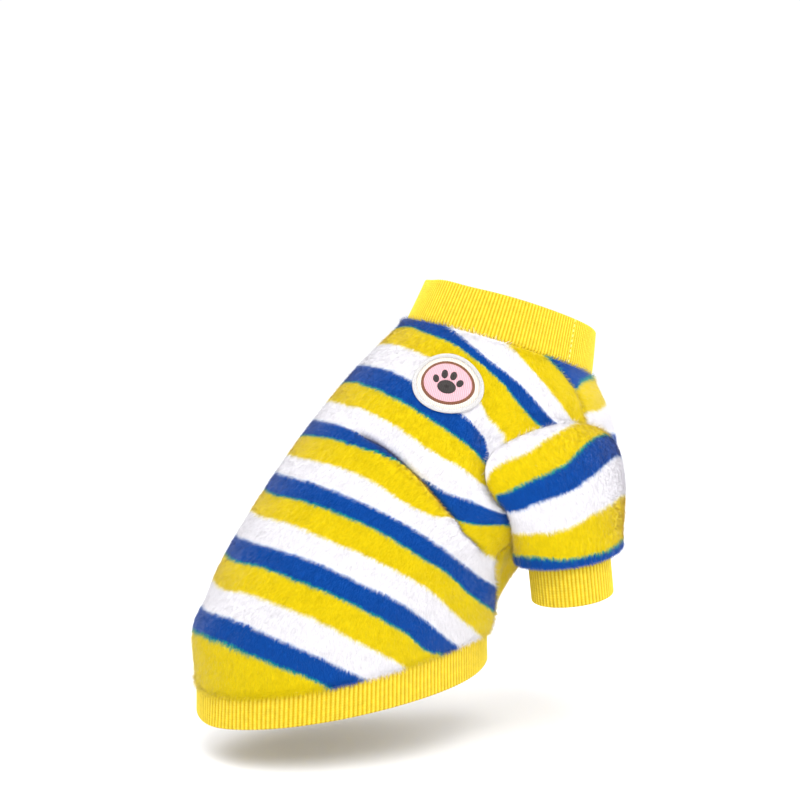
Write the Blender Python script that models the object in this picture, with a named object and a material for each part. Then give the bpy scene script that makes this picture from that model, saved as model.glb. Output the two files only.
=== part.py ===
"""Striped plush-fleece pullover for a small pet, in the hollow shape it has when worn.

Frame: +Z up, the wearer faces -Y, the wearer's right side is at -X, and X = 0 is the middle plane.
The origin is where the wearer's withers carry the garment: on the spine line, at the neck seam.

The trunk is a tube through planar sections. A place on it is named by two numbers:
  angle  degrees round the trunk, 0 on the spine line, 90 on the right flank, 180 on the chest line
  run    0 at the neck seam, 1 at the hem seam
Panels, armholes, folds and the patch are all laid out in these two numbers.
"""

import math

import bpy
import numpy as np

MM = 0.001

# Cloth and seams
FLEECE_WALL = 2.0 * MM
RIB_WALL = 1.5 * MM
RIB_RELIEF = 0.6 * MM
RIB_PITCH = 3.2 * MM
RIB_INSET = 0.5 * MM
SEAM_GAP = 0.3 * MM

# Trunk sections: where each cuts the spine line and the chest line, and its half width
SECTION_COLUMNS = ("run", "back_y", "back_z", "chest_y", "chest_z", "half_width", "flank_rise")
SECTIONS = (
    (0.00, 0, 0, -101, -35, 46.0, 0),
    (0.17, 31, -26, -115, -62, 54.0, 0),
    (0.33, 58, -54, -115, -88, 58.5, 0),
    (0.50, 82, -84, -93, -102, 60.5, 0),
    (0.67, 103, -114, -69, -115, 60.5, 0),
    (0.83, 121, -146, -50, -132.5, 59.0, 0.5),
    (1.00, 122, -179, -36, -155.5, 58.0, 2.5),
)

# Shoulder seam, middle of the armhole and side seam, as one line of angle against run
SEAM_COLUMNS = ("run", "angle")
SEAM_LINE = (
    (0.00, 93),
    (0.09, 110),
    (0.18, 113),
    (0.30, 110),
    (0.42, 115),
    (0.54, 116),
    (0.68, 112),
    (0.82, 128),
    (1.00, 142),
)
ARMHOLE_TOP_RUN = 0.18
ARMHOLE_FOOT_RUN = 0.51
ARMHOLE_HALF_ANGLE = 35.0

# Creases of the worn cloth: a trough along each line, with a soft roll on its hem side
FOLD_COLUMNS = ("start_angle", "start_run", "end_angle", "end_run", "bow", "half_width", "depth", "roll")
FOLDS = (
    (24, 0.31, 100, 0.61, -4.0, 7.5, 3.2, 1.6),
    (66, 0.17, 74, 0.42, -3.0, 9.0, 1.8, 0.0),
    (-28, 0.36, -98, 0.60, 4.0, 8.0, 2.6, 1.2),
    (-67, 0.17, -75, 0.42, 3.0, 9.0, 1.8, 0.0),
    (-40, 0.80, 12, 0.72, 3.0, 9.0, 1.8, 0.6),
    (145, 0.60, 212, 0.66, 2.0, 9.0, 2.0, 0.8),
    (208, 0.78, 155, 0.85, -2.0, 8.0, 1.4, 0.5),
)
# Millimetres of cloth for one radian round the trunk and for one unit of run, used to lay out folds
ROUND_SCALE = 72.0
RUN_SCALE = 205.0

# Mesh rows and columns
ROWS_ABOVE_ARMHOLE = 6
ROWS_AT_ARMHOLE = 14
ROWS_BELOW_ARMHOLE = 15
CORE_COLUMNS = {"back": 26, "chest": 8}
SIDE_COLUMNS = {"back": 6, "chest": 4}
CORE_HALF_ANGLE = {"back": 66, "chest": 28}
SLEEVE_ROWS = 9

# Collar
COLLAR_HEIGHT = 24 * MM
COLLAR_TAPER = 0.92
COLLAR_ROWS = 1

# Hem band
HEM_HEIGHT_BACK = 16.5 * MM
HEM_HEIGHT_CHEST = 22.0 * MM
HEM_TAPER = 0.985
HEM_LEAN = 0.10
HEM_ROWS = 1

# Sleeve and cuff: the foot ring of the right sleeve and the cuff below it
SLEEVE_FOOT = (-61 * MM, -54 * MM, -118 * MM)
SLEEVE_FOOT_FORE_AFT = 30 * MM
SLEEVE_FOOT_SIDE = 23 * MM
SLEEVE_LEAN = 7.0
SLEEVE_OVERHANG = 2.0 * MM
ARM_OUT = 0.80
ARM_DOWN = 0.60
ARM_IN = 0.50
ARM_CLEAR = 1.2 * MM
ARM_SWING = 0.3
ARM_SKEW = 30
ARM_WAY = 0.6
ARM_PULL_TOP = 43 * MM
ARM_PULL_UNDER = 28 * MM
CUFF_FORE_AFT = 22.0 * MM
CUFF_SIDE = 20.5 * MM
CUFF_HEIGHT = 19 * MM
CUFF_ROWS = 1

# Patch
PATCH_ANGLE = 47.0
PATCH_RUN = 0.150
PATCH_HALF_WIDTH = 18 * MM
PATCH_HALF_HEIGHT = 16 * MM
PATCH_THICKNESS = 1.4 * MM
PATCH_GAP = 0.4 * MM
PATCH_TILT = 0.0
PATCH_SPOKES = 28
PATCH_RINGS = 4

YELLOW = (0.87, 0.66, 0.00)
BLUE = (0.01, 0.07, 0.36)
WHITE = (0.90, 0.89, 0.92)


def curve_through(rows):
    """Smooth curve through the rows of a table whose first column is the place."""
    values = np.array(rows, float)
    places = values[:, 0]
    slopes = np.gradient(values, places, axis=0)

    def at(place):
        row = int(np.clip(np.searchsorted(places, place) - 1, 0, len(places) - 2))
        step = places[row + 1] - places[row]
        u = (place - places[row]) / step
        start = (2 * u**3 - 3 * u**2 + 1) * values[row] + (u**3 - 2 * u**2 + u) * step * slopes[row]
        end = (3 * u**2 - 2 * u**3) * values[row + 1] + (u**3 - u**2) * step * slopes[row + 1]
        return start[1:] + end[1:]

    return at


section_at = curve_through(SECTIONS)
seam_at = curve_through(SEAM_LINE)


def unit(vector):
    return vector / np.linalg.norm(vector)


def bare_point(angle, run):
    """Point of the smooth trunk, before any fold."""
    back_y, back_z, chest_y, chest_z, half_width, flank_rise = section_at(run) * MM
    turn = math.radians(angle)
    near = (1 + math.cos(turn)) / 2
    far = 1 - near
    x = -half_width * math.sin(turn)
    z = back_z * near + chest_z * far + flank_rise * math.sin(turn) ** 2
    return np.array([x, back_y * near + chest_y * far, z])


def steps_at(angle, run):
    """How the trunk point moves for one degree round the trunk, and for one unit of run."""
    round_it = bare_point(angle + 0.5, run) - bare_point(angle - 0.5, run)
    run = min(max(run, 0.004), 0.996)
    down_it = (bare_point(angle, run + 0.004) - bare_point(angle, run - 0.004)) / 0.008
    return round_it, down_it


def directions(angle, run):
    """Outward normal of the trunk, and the outward direction that stays in the section's plane."""
    round_it, down_it = steps_at(angle, run)
    normal = unit(np.cross(down_it, round_it))
    depth = bare_point(0, run) - bare_point(180, run)
    in_plane = unit(np.cross(round_it, np.array([0, -depth[2], depth[1]])))
    return normal, in_plane * math.copysign(1, in_plane @ normal)


def fold_lift(angle, run):
    """How far the folds move the cloth out, or in where it is below zero."""
    lift = 0.0
    for start_angle, start_run, end_angle, end_run, bow, half_width, depth, roll in FOLDS:
        from_start = (angle - start_angle + 180) % 360 - 180
        here = np.array([math.radians(from_start) * ROUND_SCALE, (run - start_run) * RUN_SCALE])
        turn = math.radians(end_angle - start_angle)
        end = np.array([turn * ROUND_SCALE, (end_run - start_run) * RUN_SCALE])
        length = np.linalg.norm(end)
        along = end / length
        share = here @ along / length
        if not 0 < share < 1:
            continue
        off = here @ np.array([-along[1], along[0]]) - bow * 4 * share * (1 - share)
        fade = math.sin(math.pi * share) ** 0.7
        lift -= fade * depth * math.exp(-((off / half_width) ** 2))
        lift += fade * roll * math.exp(-(((off - 2 * half_width) / (1.3 * half_width)) ** 2))
    return lift * MM


def trunk_wall(angle, run, walls=(0.0, FLEECE_WALL)):
    """Points of the cloth at the given depths in its wall, all in the plane of their section."""
    normal, in_plane = directions(angle, run)
    lift = fold_lift(angle, run)
    point = bare_point(angle, run)
    return [point + in_plane * (lift - wall) / (normal @ in_plane) for wall in walls]


def angle_for(length, run, angle):
    """Degrees round the trunk that span a length there."""
    return length / np.linalg.norm(steps_at(angle, run)[0])


def seam_angle(run):
    return seam_at(run)[0]


def armhole_share(run):
    """Half opening of the armhole at a run, as a share of its widest."""
    middle = (ARMHOLE_TOP_RUN + ARMHOLE_FOOT_RUN) / 2
    half = (ARMHOLE_FOOT_RUN - ARMHOLE_TOP_RUN) / 2
    return math.sqrt(max(0.0, 1 - ((run - middle) / half) ** 2))


def half_opening(run):
    """Degrees from the seam line to the edge of a panel."""
    return angle_for(SEAM_GAP / 2, run, seam_angle(run)) + ARMHOLE_HALF_ANGLE * armhole_share(run)


def panel_runs():
    """Rows of the panels: even above and below the armhole, and closer at its two ends."""
    above = np.linspace(0, ARMHOLE_TOP_RUN, ROWS_ABOVE_ARMHOLE + 1)[:-1]
    turn = np.linspace(0, math.pi, ROWS_AT_ARMHOLE + 1)
    middle = (ARMHOLE_TOP_RUN + ARMHOLE_FOOT_RUN) / 2
    at_hole = middle - (ARMHOLE_FOOT_RUN - ARMHOLE_TOP_RUN) / 2 * np.cos(turn)
    below = np.linspace(ARMHOLE_FOOT_RUN, 1, ROWS_BELOW_ARMHOLE + 1)[1:]
    return np.concatenate([above, at_hole, below])


def add_object(name, points, faces, colour, roughness):
    mesh = bpy.data.meshes.new(name)
    mesh.from_pydata([tuple(point) for point in points], [], faces)
    mesh.validate()
    mesh.shade_smooth()
    mesh.set_sharp_from_angle(angle=math.radians(50))
    material = bpy.data.materials.new(name + "_cloth")
    material.use_nodes = True
    shader = material.node_tree.nodes["Principled BSDF"]
    shader.inputs["Base Color"].default_value = (*colour, 1)
    shader.inputs["Roughness"].default_value = roughness
    shader.inputs["Metallic"].default_value = 0.0
    mesh.materials.append(material)
    cloth = bpy.data.objects.new(name, mesh)
    bpy.context.scene.collection.objects.link(cloth)
    cloth.parent = garment
    return cloth


def add_wall(name, outside, inside, wraps, colour, roughness):
    """Closed wall between two equal grids of points, [row][column], open at its four edges or wrapped."""
    outside = np.array(outside)
    inside = np.array(inside)
    rows, columns = outside.shape[:2]
    points = np.concatenate([outside.reshape(-1, 3), inside.reshape(-1, 3)])
    half = rows * columns

    def at(row, column, layer):
        return layer * half + row * columns + column % columns

    faces = []
    for row in range(rows - 1):
        for column in range(columns if wraps else columns - 1):
            corners = ((row, column), (row, column + 1), (row + 1, column + 1), (row + 1, column))
            faces.append([at(r, c, 0) for r, c in corners])
            faces.append([at(r, c, 1) for r, c in reversed(corners)])
    for column in range(columns if wraps else columns - 1):
        faces.append([at(0, column, 1), at(0, column + 1, 1), at(0, column + 1, 0), at(0, column, 0)])
        last = rows - 1
        faces.append([at(last, column, 0), at(last, column + 1, 0), at(last, column + 1, 1), at(last, column, 1)])
    if not wraps:
        for row in range(rows - 1):
            faces.append([at(row, 0, 0), at(row + 1, 0, 0), at(row + 1, 0, 1), at(row, 0, 1)])
            end = columns - 1
            faces.append([at(row, end, 1), at(row + 1, end, 1), at(row + 1, end, 0), at(row, end, 0)])
    return add_object(name, points, faces, colour, roughness)


def add_panel(part, middle, edges, colour):
    """Panel of the trunk between two edge angles, given for each run; only its side columns follow them."""
    core = CORE_HALF_ANGLE[part]
    outside = []
    inside = []
    for run in panel_runs():
        first, last = edges(run)
        start_side = np.linspace(first, middle + core, SIDE_COLUMNS[part] + 1)
        between = np.linspace(middle + core, middle - core, CORE_COLUMNS[part] + 1)
        end_side = np.linspace(middle - core, last, SIDE_COLUMNS[part] + 1)
        angles = np.concatenate([start_side, between[1:], end_side[1:]])
        walls = [trunk_wall(angle, run) for angle in angles]
        outside.append([wall[0] for wall in walls])
        inside.append([wall[1] for wall in walls])
    return add_wall(part + "_panel", outside, inside, False, colour, 0.9)


def back_edges(run):
    edge = seam_angle(run) - half_opening(run)
    return edge, -edge


def chest_edges(run):
    edge = seam_angle(run) + half_opening(run)
    return 360 - edge, edge


def ribbed_band(name, ring, rows, facing):
    """Rib-knit tube. ring(turn, share) gives its outside and its inward direction at a share of its height.

    facing is 1 or -1, the sense of turn that puts the rows' outside outward.
    """
    ribs = round(ring_length(ring) / RIB_PITCH)
    turns = facing * np.arange(2 * ribs) * math.pi / ribs
    outside = []
    inside = []
    for share in np.linspace(0, 1, rows + 1):
        outer_row = []
        inner_row = []
        for index, turn in enumerate(turns):
            point, inward = ring(turn, share)
            relief = RIB_RELIEF * (index % 2)
            outer_row.append(point + inward * relief)
            inner_row.append(point + inward * (RIB_RELIEF + RIB_WALL))
        outside.append(outer_row)
        inside.append(inner_row)
    return add_wall(name, outside, inside, True, YELLOW, 0.85)


def ring_length(ring):
    points = np.array([ring(turn, 0)[0] for turn in np.linspace(0, 2 * math.pi, 181)])
    return np.linalg.norm(np.diff(points, axis=0), axis=1).sum()


def ring_place(angle, run, taper, share):
    """Place of a band above a section: its foot drawn in towards the section's middle, and its inward way."""
    middle = (bare_point(0, run) + bare_point(180, run)) / 2
    inward = -directions(angle, run)[1]
    foot = bare_point(angle, run) + inward * RIB_INSET
    return middle + (foot - middle) * (1 + (taper - 1) * share), inward


def collar_ring(turn, share):
    """Collar standing on the neck seam and drawing in a little towards its top."""
    point, inward = ring_place(math.degrees(turn), 0, COLLAR_TAPER, share)
    depth = bare_point(0, 0) - bare_point(180, 0)
    rise = SEAM_GAP + (COLLAR_HEIGHT - SEAM_GAP) * share
    return point + unit(np.array([0, -depth[2], depth[1]])) * rise, inward


def hem_ring(turn, share):
    """Hem band hanging from the hem seam, higher under the chest, and drawing in a little downwards."""
    point, inward = ring_place(math.degrees(turn), 1, HEM_TAPER, share)
    near = (1 + math.cos(turn)) / 2
    height = HEM_HEIGHT_BACK * near + HEM_HEIGHT_CHEST * (1 - near)
    drop = SEAM_GAP + (height - SEAM_GAP) * share
    return point + np.array([0, HEM_LEAN, -1]) * drop, inward


def arm_frame():
    """Middle of the sleeve's foot, and its forward, outward and downward directions."""
    lean = math.radians(SLEEVE_LEAN)
    down = np.array([0, -math.sin(lean), -math.cos(lean)])
    fore = np.array([0, -math.cos(lean), math.sin(lean)])
    return np.array(SLEEVE_FOOT), fore, np.array([-1.0, 0, 0]), down


def arm_oval(turn, fore_aft, side, drop):
    """Point on an oval round the arm and its inward direction. turn 0 is outward, 90 degrees is forward."""
    middle, fore, out, down = arm_frame()
    point = middle + out * side * math.cos(turn) + fore * fore_aft * math.sin(turn) + down * drop
    inward = -unit(out * math.cos(turn) / side + fore * math.sin(turn) / fore_aft)
    return point, inward


def armhole_place(turn):
    """Angle and run on the armhole's edge. turn 0 is its top, 90 degrees its chest side."""
    middle = (ARMHOLE_TOP_RUN + ARMHOLE_FOOT_RUN) / 2
    half = (ARMHOLE_FOOT_RUN - ARMHOLE_TOP_RUN) / 2
    run = middle - half * math.cos(turn)
    return seam_angle(run) + ARMHOLE_HALF_ANGLE * math.sin(turn), run


def sleeve_start(turn):
    """Outside and inside of the sleeve's first ring, a seam's gap inside the armhole's edge."""
    angle, run = armhole_place(turn)
    edge, under = trunk_wall(angle, run)
    normal = directions(angle, run)[0]
    to_middle = np.mean([trunk_wall(*armhole_place(turn + math.pi))[0], edge], axis=0) - edge
    toward = unit(to_middle - normal * (to_middle @ normal))
    return edge + toward * SEAM_GAP, under + toward * SEAM_GAP, normal


def nearest_place(point, angle, run):
    """Angle and run of the trunk's point nearest to a point, and its height above the folded cloth there."""
    for _ in range(8):
        round_it, down_it = steps_at(angle, run)
        offset = point - bare_point(angle, run)
        span = np.linalg.lstsq(np.array([round_it, down_it]).T, offset, rcond=None)[0]
        angle += float(np.clip(span[0], -15, 15))
        run = float(np.clip(run + span[1], 0, 1))
    height = (point - bare_point(angle, run)) @ directions(angle, run)[0]
    return angle, run, height - max(0.0, fold_lift(angle, run))


def kept_clear(point, turn, share):
    """The point, moved off the trunk where the sleeve lies along it; low down it moves level only."""
    angle, run, height = nearest_place(point, *armhole_place(turn))
    least = ARM_CLEAR * min(1.0, 3 * share)
    ease = least / 2
    lack = least - height
    push = (lack + math.hypot(lack, ease)) / 2
    if push < ease / 10:
        return point
    normal = directions(angle, run)[0]
    down = arm_frame()[3]
    way = unit(normal - down * (normal @ down) * share)
    return point + way * push / (way @ normal)


def foot_turn(turn):
    """Turn on the sleeve's foot below a turn on the armhole: more of the cloth goes to the outer side."""
    return turn - math.radians(ARM_SKEW) * math.sin(turn)


def sleeve_point(turn, share):
    """Outside of the right sleeve, from just inside the armhole (0) to its full foot (1)."""
    start, under, normal = sleeve_start(turn)
    foot = arm_oval(foot_turn(turn), SLEEVE_FOOT_FORE_AFT, SLEEVE_FOOT_SIDE, 0)[0]
    high = (1 + math.cos(turn)) / 2
    down = arm_frame()[3]
    pull = ARM_PULL_UNDER + (ARM_PULL_TOP - ARM_PULL_UNDER) * high
    into_hole = unit(sleeve_start(turn + math.pi)[0] - start)
    sideways = down * ARM_DOWN * high + into_hole * ARM_IN * (1 - high)
    leave = unit(normal * ARM_OUT + sideways) * pull
    arrive = down * pull
    u = share
    point = (2 * u**3 - 3 * u**2 + 1) * start + (u**3 - 2 * u**2 + u) * leave
    point = point + (3 * u**2 - 2 * u**3) * foot + (u**3 - u**2) * arrive
    return kept_clear(point, turn, share) if share > 0 else point


def sleeve_inward(turn, share):
    """Direction from the sleeve's outside to its inside: it swings from the trunk's wall to the tube's."""
    start, under, normal = sleeve_start(turn)
    oval_inward = arm_oval(foot_turn(turn), SLEEVE_FOOT_FORE_AFT, SLEEVE_FOOT_SIDE, 0)[1]
    into_hole = unit(sleeve_start(turn + math.pi)[0] - start)
    swing = min(1.0, share / ARM_SWING)
    swing = swing * swing * (3 - 2 * swing)
    way = -normal * (1 - swing) + into_hole * 3 * swing * (1 - swing) + oval_inward * swing
    return unit(way)


def sleeve_grids():
    """Outside and inside of the right sleeve, row by row down from the armhole."""
    count = 2 * ROWS_AT_ARMHOLE
    turns = -np.arange(count) * 2 * math.pi / count
    starts = [sleeve_start(turn) for turn in turns]
    outside = [[start[0] for start in starts]]
    inside = [[start[1] for start in starts]]
    up = -arm_frame()[3]
    for share in np.linspace(0, 1, SLEEVE_ROWS + 1)[1:]:
        row = np.array([sleeve_point(turn, share) for turn in turns])
        above = np.array([sleeve_point(turn, share - 0.05) for turn in turns])
        way = np.array([sleeve_inward(turn, share) for turn in turns])
        square = np.cross(row - above, np.roll(row, -1, axis=0) - np.roll(row, 1, axis=0))
        square /= np.linalg.norm(square, axis=1, keepdims=True)
        square *= np.sign((square * way).sum(axis=1, keepdims=True))
        inward = square + way * ARM_WAY
        inward /= np.linalg.norm(inward, axis=1, keepdims=True)
        outside.append(row)
        inside.append(row + (inward + up * share**6) * FLEECE_WALL)
    gathered = [arm_oval(foot_turn(turn), CUFF_FORE_AFT, CUFF_SIDE, SLEEVE_OVERHANG)[0] for turn in turns]
    outside.append(gathered)
    inside.append([point + up * FLEECE_WALL for point in gathered])
    return outside, inside


def mirrored(grid):
    """The same grid on the wearer's left, with its columns turned round so that it still faces out."""
    return [[np.array([-point[0], point[1], point[2]]) for point in reversed(list(row))] for row in grid]


def cuff_ring_right(turn, share):
    drop = SLEEVE_OVERHANG + SEAM_GAP + CUFF_HEIGHT * share
    return arm_oval(turn, CUFF_FORE_AFT - RIB_INSET, CUFF_SIDE - RIB_INSET, drop)


def cuff_ring_left(turn, share):
    flip = np.array([-1, 1, 1])
    point, inward = cuff_ring_right(turn, share)
    return point * flip, inward * flip


def add_patch():
    """Rounded patch laid on the back panel, made from the panel's points moved out."""
    round_it, down_it = steps_at(PATCH_ANGLE, PATCH_RUN)
    across_way = unit(round_it)
    up_way = unit(np.cross(across_way, np.cross(down_it, across_way))) * -1
    tilt = math.radians(PATCH_TILT)

    def place(spoke, share, lift):
        turn = 2 * math.pi * spoke / PATCH_SPOKES + tilt
        turned = turn - tilt
        u = PATCH_HALF_WIDTH * share * math.cos(turned)
        v = PATCH_HALF_HEIGHT * share * math.sin(turned)
        across = u * math.cos(tilt) - v * math.sin(tilt)
        up = u * math.sin(tilt) + v * math.cos(tilt)
        offset = across_way * across + up_way * up
        span = np.linalg.lstsq(np.array([round_it, down_it]).T, offset, rcond=None)[0]
        angle = PATCH_ANGLE + span[0]
        run = PATCH_RUN + span[1]
        return trunk_wall(angle, run)[0] + directions(angle, run)[0] * lift

    points = []
    for lift in (PATCH_GAP + PATCH_THICKNESS, PATCH_GAP):
        points.append(place(0, 0, lift))
        for ring in range(1, PATCH_RINGS + 1):
            points.extend(place(spoke, ring / PATCH_RINGS, lift) for spoke in range(PATCH_SPOKES))
    layer = 1 + PATCH_RINGS * PATCH_SPOKES

    def at(ring, spoke, side):
        return side * layer + 1 + (ring - 1) * PATCH_SPOKES + spoke % PATCH_SPOKES

    faces = []
    for spoke in range(PATCH_SPOKES):
        faces.append([0, at(1, spoke, 0), at(1, spoke + 1, 0)])
        faces.append([layer, at(1, spoke + 1, 1), at(1, spoke, 1)])
        for ring in range(1, PATCH_RINGS):
            quad = ((ring, spoke), (ring + 1, spoke), (ring + 1, spoke + 1), (ring, spoke + 1))
            faces.append([at(r, s, 0) for r, s in quad])
            faces.append([at(r, s, 1) for r, s in reversed(quad)])
        rim = PATCH_RINGS
        faces.append([at(rim, spoke, 0), at(rim, spoke, 1), at(rim, spoke + 1, 1), at(rim, spoke + 1, 0)])
    add_object("patch", points, faces, WHITE, 0.8)


for old in list(bpy.data.objects):
    bpy.data.objects.remove(old, do_unlink=True)
garment = bpy.data.objects.new("garment", None)
bpy.context.scene.collection.objects.link(garment)

add_panel("back", 0, back_edges, BLUE)
add_panel("chest", 180, chest_edges, WHITE)
sleeve_outside, sleeve_inside = sleeve_grids()
add_wall("sleeve_right", sleeve_outside, sleeve_inside, True, YELLOW, 0.9)
add_wall("sleeve_left", mirrored(sleeve_outside), mirrored(sleeve_inside), True, YELLOW, 0.9)
ribbed_band("cuff_right", cuff_ring_right, CUFF_ROWS, -1)
ribbed_band("cuff_left", cuff_ring_left, CUFF_ROWS, 1)
ribbed_band("collar", collar_ring, COLLAR_ROWS, 1)
ribbed_band("hem_band", hem_ring, HEM_ROWS, -1)
add_patch()
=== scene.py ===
import math

import bpy
import numpy as np
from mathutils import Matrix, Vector, noise


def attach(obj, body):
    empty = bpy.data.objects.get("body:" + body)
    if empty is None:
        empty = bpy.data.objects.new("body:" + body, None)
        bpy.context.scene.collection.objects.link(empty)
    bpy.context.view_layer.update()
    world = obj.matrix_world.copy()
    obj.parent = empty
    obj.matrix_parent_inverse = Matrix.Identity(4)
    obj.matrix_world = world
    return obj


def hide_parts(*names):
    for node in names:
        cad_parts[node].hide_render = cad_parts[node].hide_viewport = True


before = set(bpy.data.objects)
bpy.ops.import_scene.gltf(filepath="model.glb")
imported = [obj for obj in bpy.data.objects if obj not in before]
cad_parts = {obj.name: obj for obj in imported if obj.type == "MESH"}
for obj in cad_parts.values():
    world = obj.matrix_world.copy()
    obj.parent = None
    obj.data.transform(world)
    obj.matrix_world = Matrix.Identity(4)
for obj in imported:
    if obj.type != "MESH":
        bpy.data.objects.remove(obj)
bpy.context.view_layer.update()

# Back panel
# One piece of plush fleece that lies over the back and both flanks, cut with the stripes across it.
# The fleece is a knitted ground with a brushed pile about 2 mm long, dyed in stripes, and it is
# sewn to the chest panel, sleeves, collar and hem band with its edges turned under.

MM = 0.001
FLEECE_WALL = 2.0 * MM
EDGE_TURN_DEPTH = 0.5 * MM
EDGE_TURN_WIDTH = 1.8 * MM

# Sections of the worn trunk in mm: run (0 neck seam, 1 hem seam), spine point, chest point, half width
# and how much the flanks rise above the straight line between those points
TRUNK_SECTIONS = (
    (0.00, 0, 0, -101, -35, 46.0, 0),
    (0.17, 31, -26, -115, -62, 54.0, 0),
    (0.33, 58, -54, -115, -88, 58.5, 0),
    (0.50, 82, -84, -93, -102, 60.5, 0),
    (0.67, 103, -114, -69, -115, 60.5, 0),
    (0.83, 121, -146, -50, -132.5, 59.0, 0.5),
    (1.00, 122, -179, -36, -155.5, 58.0, 2.5),
)
# Angle of the shoulder and side seam at each run (0 on the spine, 90 right flank, 180 chest line)
SEAM_LINE = (
    (0.00, 93),
    (0.09, 110),
    (0.18, 113),
    (0.30, 110),
    (0.42, 115),
    (0.54, 116),
    (0.68, 112),
    (0.82, 128),
    (1.00, 142),
)
ARMHOLE_TOP_RUN = 0.18
ARMHOLE_FOOT_RUN = 0.51
ARMHOLE_HALF_ANGLE = 35.0
ARMHOLE_MIDDLE_RUN = (ARMHOLE_TOP_RUN + ARMHOLE_FOOT_RUN) / 2
ARMHOLE_HALF_RUN = (ARMHOLE_FOOT_RUN - ARMHOLE_TOP_RUN) / 2

# Soft folds: start angle and run, end angle and run, bow, half width, depth and roll in mm
SOFT_FOLDS = (
    (24, 0.31, 100, 0.61, -4.0, 7.5, 1.6, 1.0),
    (64, 0.12, 82, 0.44, 0.5, 4.5, 3.0, 0.8),
    (-28, 0.36, -98, 0.60, 4.0, 8.0, 2.6, 1.2),
    (-66, 0.14, -82, 0.43, -1.5, 5.5, 2.4, 0.6),
    (-40, 0.80, 12, 0.72, 3.0, 9.0, 1.8, 0.6),
    (145, 0.60, 212, 0.66, 2.0, 9.0, 2.0, 0.8),
    (208, 0.78, 155, 0.85, -2.0, 8.0, 1.4, 0.5),
    (-6, 0.24, 30, 0.33, -2.0, 4.0, 0.9, 0.5),
    (4, 0.88, 40, 0.76, 2.0, 6.0, 0.9, 0.5),
    (58, 0.20, 84, 0.30, 2.0, 4.0, 0.8, 0.4),
    (30, 0.98, 70, 0.90, 3.0, 7.0, 0.7, 0.6),
    (-35, 0.97, -72, 0.88, -3.0, 7.0, 0.8, 0.6),
    (96, 0.70, 128, 0.80, -2.0, 6.0, 0.9, 0.5),
    (-94, 0.68, -126, 0.79, 2.0, 6.0, 0.9, 0.5),
    (116, 0.64, 153, 0.98, 0.0, 5.0, 3.0, 1.6),
    (-153, 0.98, -116, 0.64, 0.0, 5.0, 2.4, 1.3),
    (110, 0.80, 152, 1.08, 0.0, 9.0, -3.6, 0.0),
    (-152, 1.08, -110, 0.80, 0.0, 9.0, -3.0, 0.0),
)
# Millimetres of cloth for one radian round the trunk, for one degree, and for one unit of run
ROUND_SCALE = 72.0
DEGREE_SCALE = ROUND_SCALE * math.pi / 180
RUN_SCALE = 205.0

# The deep tuck on the right flank, as run against angle: the cloth below it rolls over the cloth above
TUCK_LINE = (
    (15, 0.297),
    (31, 0.323),
    (46, 0.362),
    (56, 0.400),
    (67, 0.453),
    (75, 0.497),
    (81, 0.530),
    (87, 0.573),
    (93, 0.603),
    (99, 0.632),
    (105, 0.664),
    (110, 0.690),
)
# Angles where it starts and ends, and the degrees over which it grows and fades
TUCK_START, TUCK_GROWTH = 18, 22
TUCK_END, TUCK_FADE = 111, 24
# Each thing it does to the cloth: how much, how far below its line in mm (above it where below zero), and
# the half width in mm
TUCK_DEPTH, TUCK_HALF_WIDTH = 7.2 * MM, 1.8
ROLL_HEIGHT, ROLL_PLACE, ROLL_HALF_WIDTH = 2.4 * MM, 4.6, 4.2
DIP_DEPTH, DIP_PLACE, DIP_HALF_WIDTH = 1.2 * MM, -4.5, 5.0
OVERLAP, OVERLAP_PLACE, OVERLAP_HALF_WIDTH = 3.8 * MM, 1.9, 1.7
# Share by which the mesh's rows are drawn to the tuck, and within how many mm
DRAWN_SHARE, DRAWN_HALF_WIDTH = 0.66, 6.5


def curve_through(rows):
    """Smooth curve through the rows of a table whose first column is the place."""
    values = np.array(rows, float)
    places = values[:, 0]
    slopes = np.gradient(values, places, axis=0)

    def at(place):
        place = np.asarray(place, float)
        row = np.clip(np.searchsorted(places, place) - 1, 0, len(places) - 2)
        step = places[row + 1] - places[row]
        u = ((place - places[row]) / step)[..., None]
        step = step[..., None]
        start = (2 * u**3 - 3 * u**2 + 1) * values[row] + (u**3 - 2 * u**2 + u) * step * slopes[row]
        end = (3 * u**2 - 2 * u**3) * values[row + 1] + (u**3 - u**2) * step * slopes[row + 1]
        return (start + end)[..., 1:]

    return at


section_at = curve_through(TRUNK_SECTIONS)
seam_at = curve_through(SEAM_LINE)
tuck_at = curve_through(TUCK_LINE)


def unit(vectors):
    return vectors / np.linalg.norm(vectors, axis=-1, keepdims=True)


def smooth_step(value):
    value = np.clip(value, 0, 1)
    return value * value * (3 - 2 * value)


def bell(value, half_width, power=2):
    """1 where the value is 0, and next to nothing two half widths away."""
    return np.exp(-(np.abs(value / half_width) ** power))


def bare_trunk(angle, run):
    """Points of the smooth trunk at an angle round it and a run down it."""
    angle, run = np.broadcast_arrays(np.asarray(angle, float), np.asarray(run, float))
    back_y, back_z, chest_y, chest_z, half_width, flank_rise = np.moveaxis(section_at(run) * MM, -1, 0)
    turn = np.radians(angle)
    near = (1 + np.cos(turn)) / 2
    z = back_z * near + chest_z * (1 - near) + flank_rise * np.sin(turn) ** 2
    return np.stack((-half_width * np.sin(turn), back_y * near + chest_y * (1 - near), z), -1)


def trunk_steps(angle, run):
    """How the trunk's point moves for one degree round it, and for one unit of run."""
    run = np.clip(run, 0.004, 0.996)
    round_it = bare_trunk(angle + 0.5, run) - bare_trunk(angle - 0.5, run)
    down_it = (bare_trunk(angle, run + 0.004) - bare_trunk(angle, run - 0.004)) / 0.008
    return round_it, down_it


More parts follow.
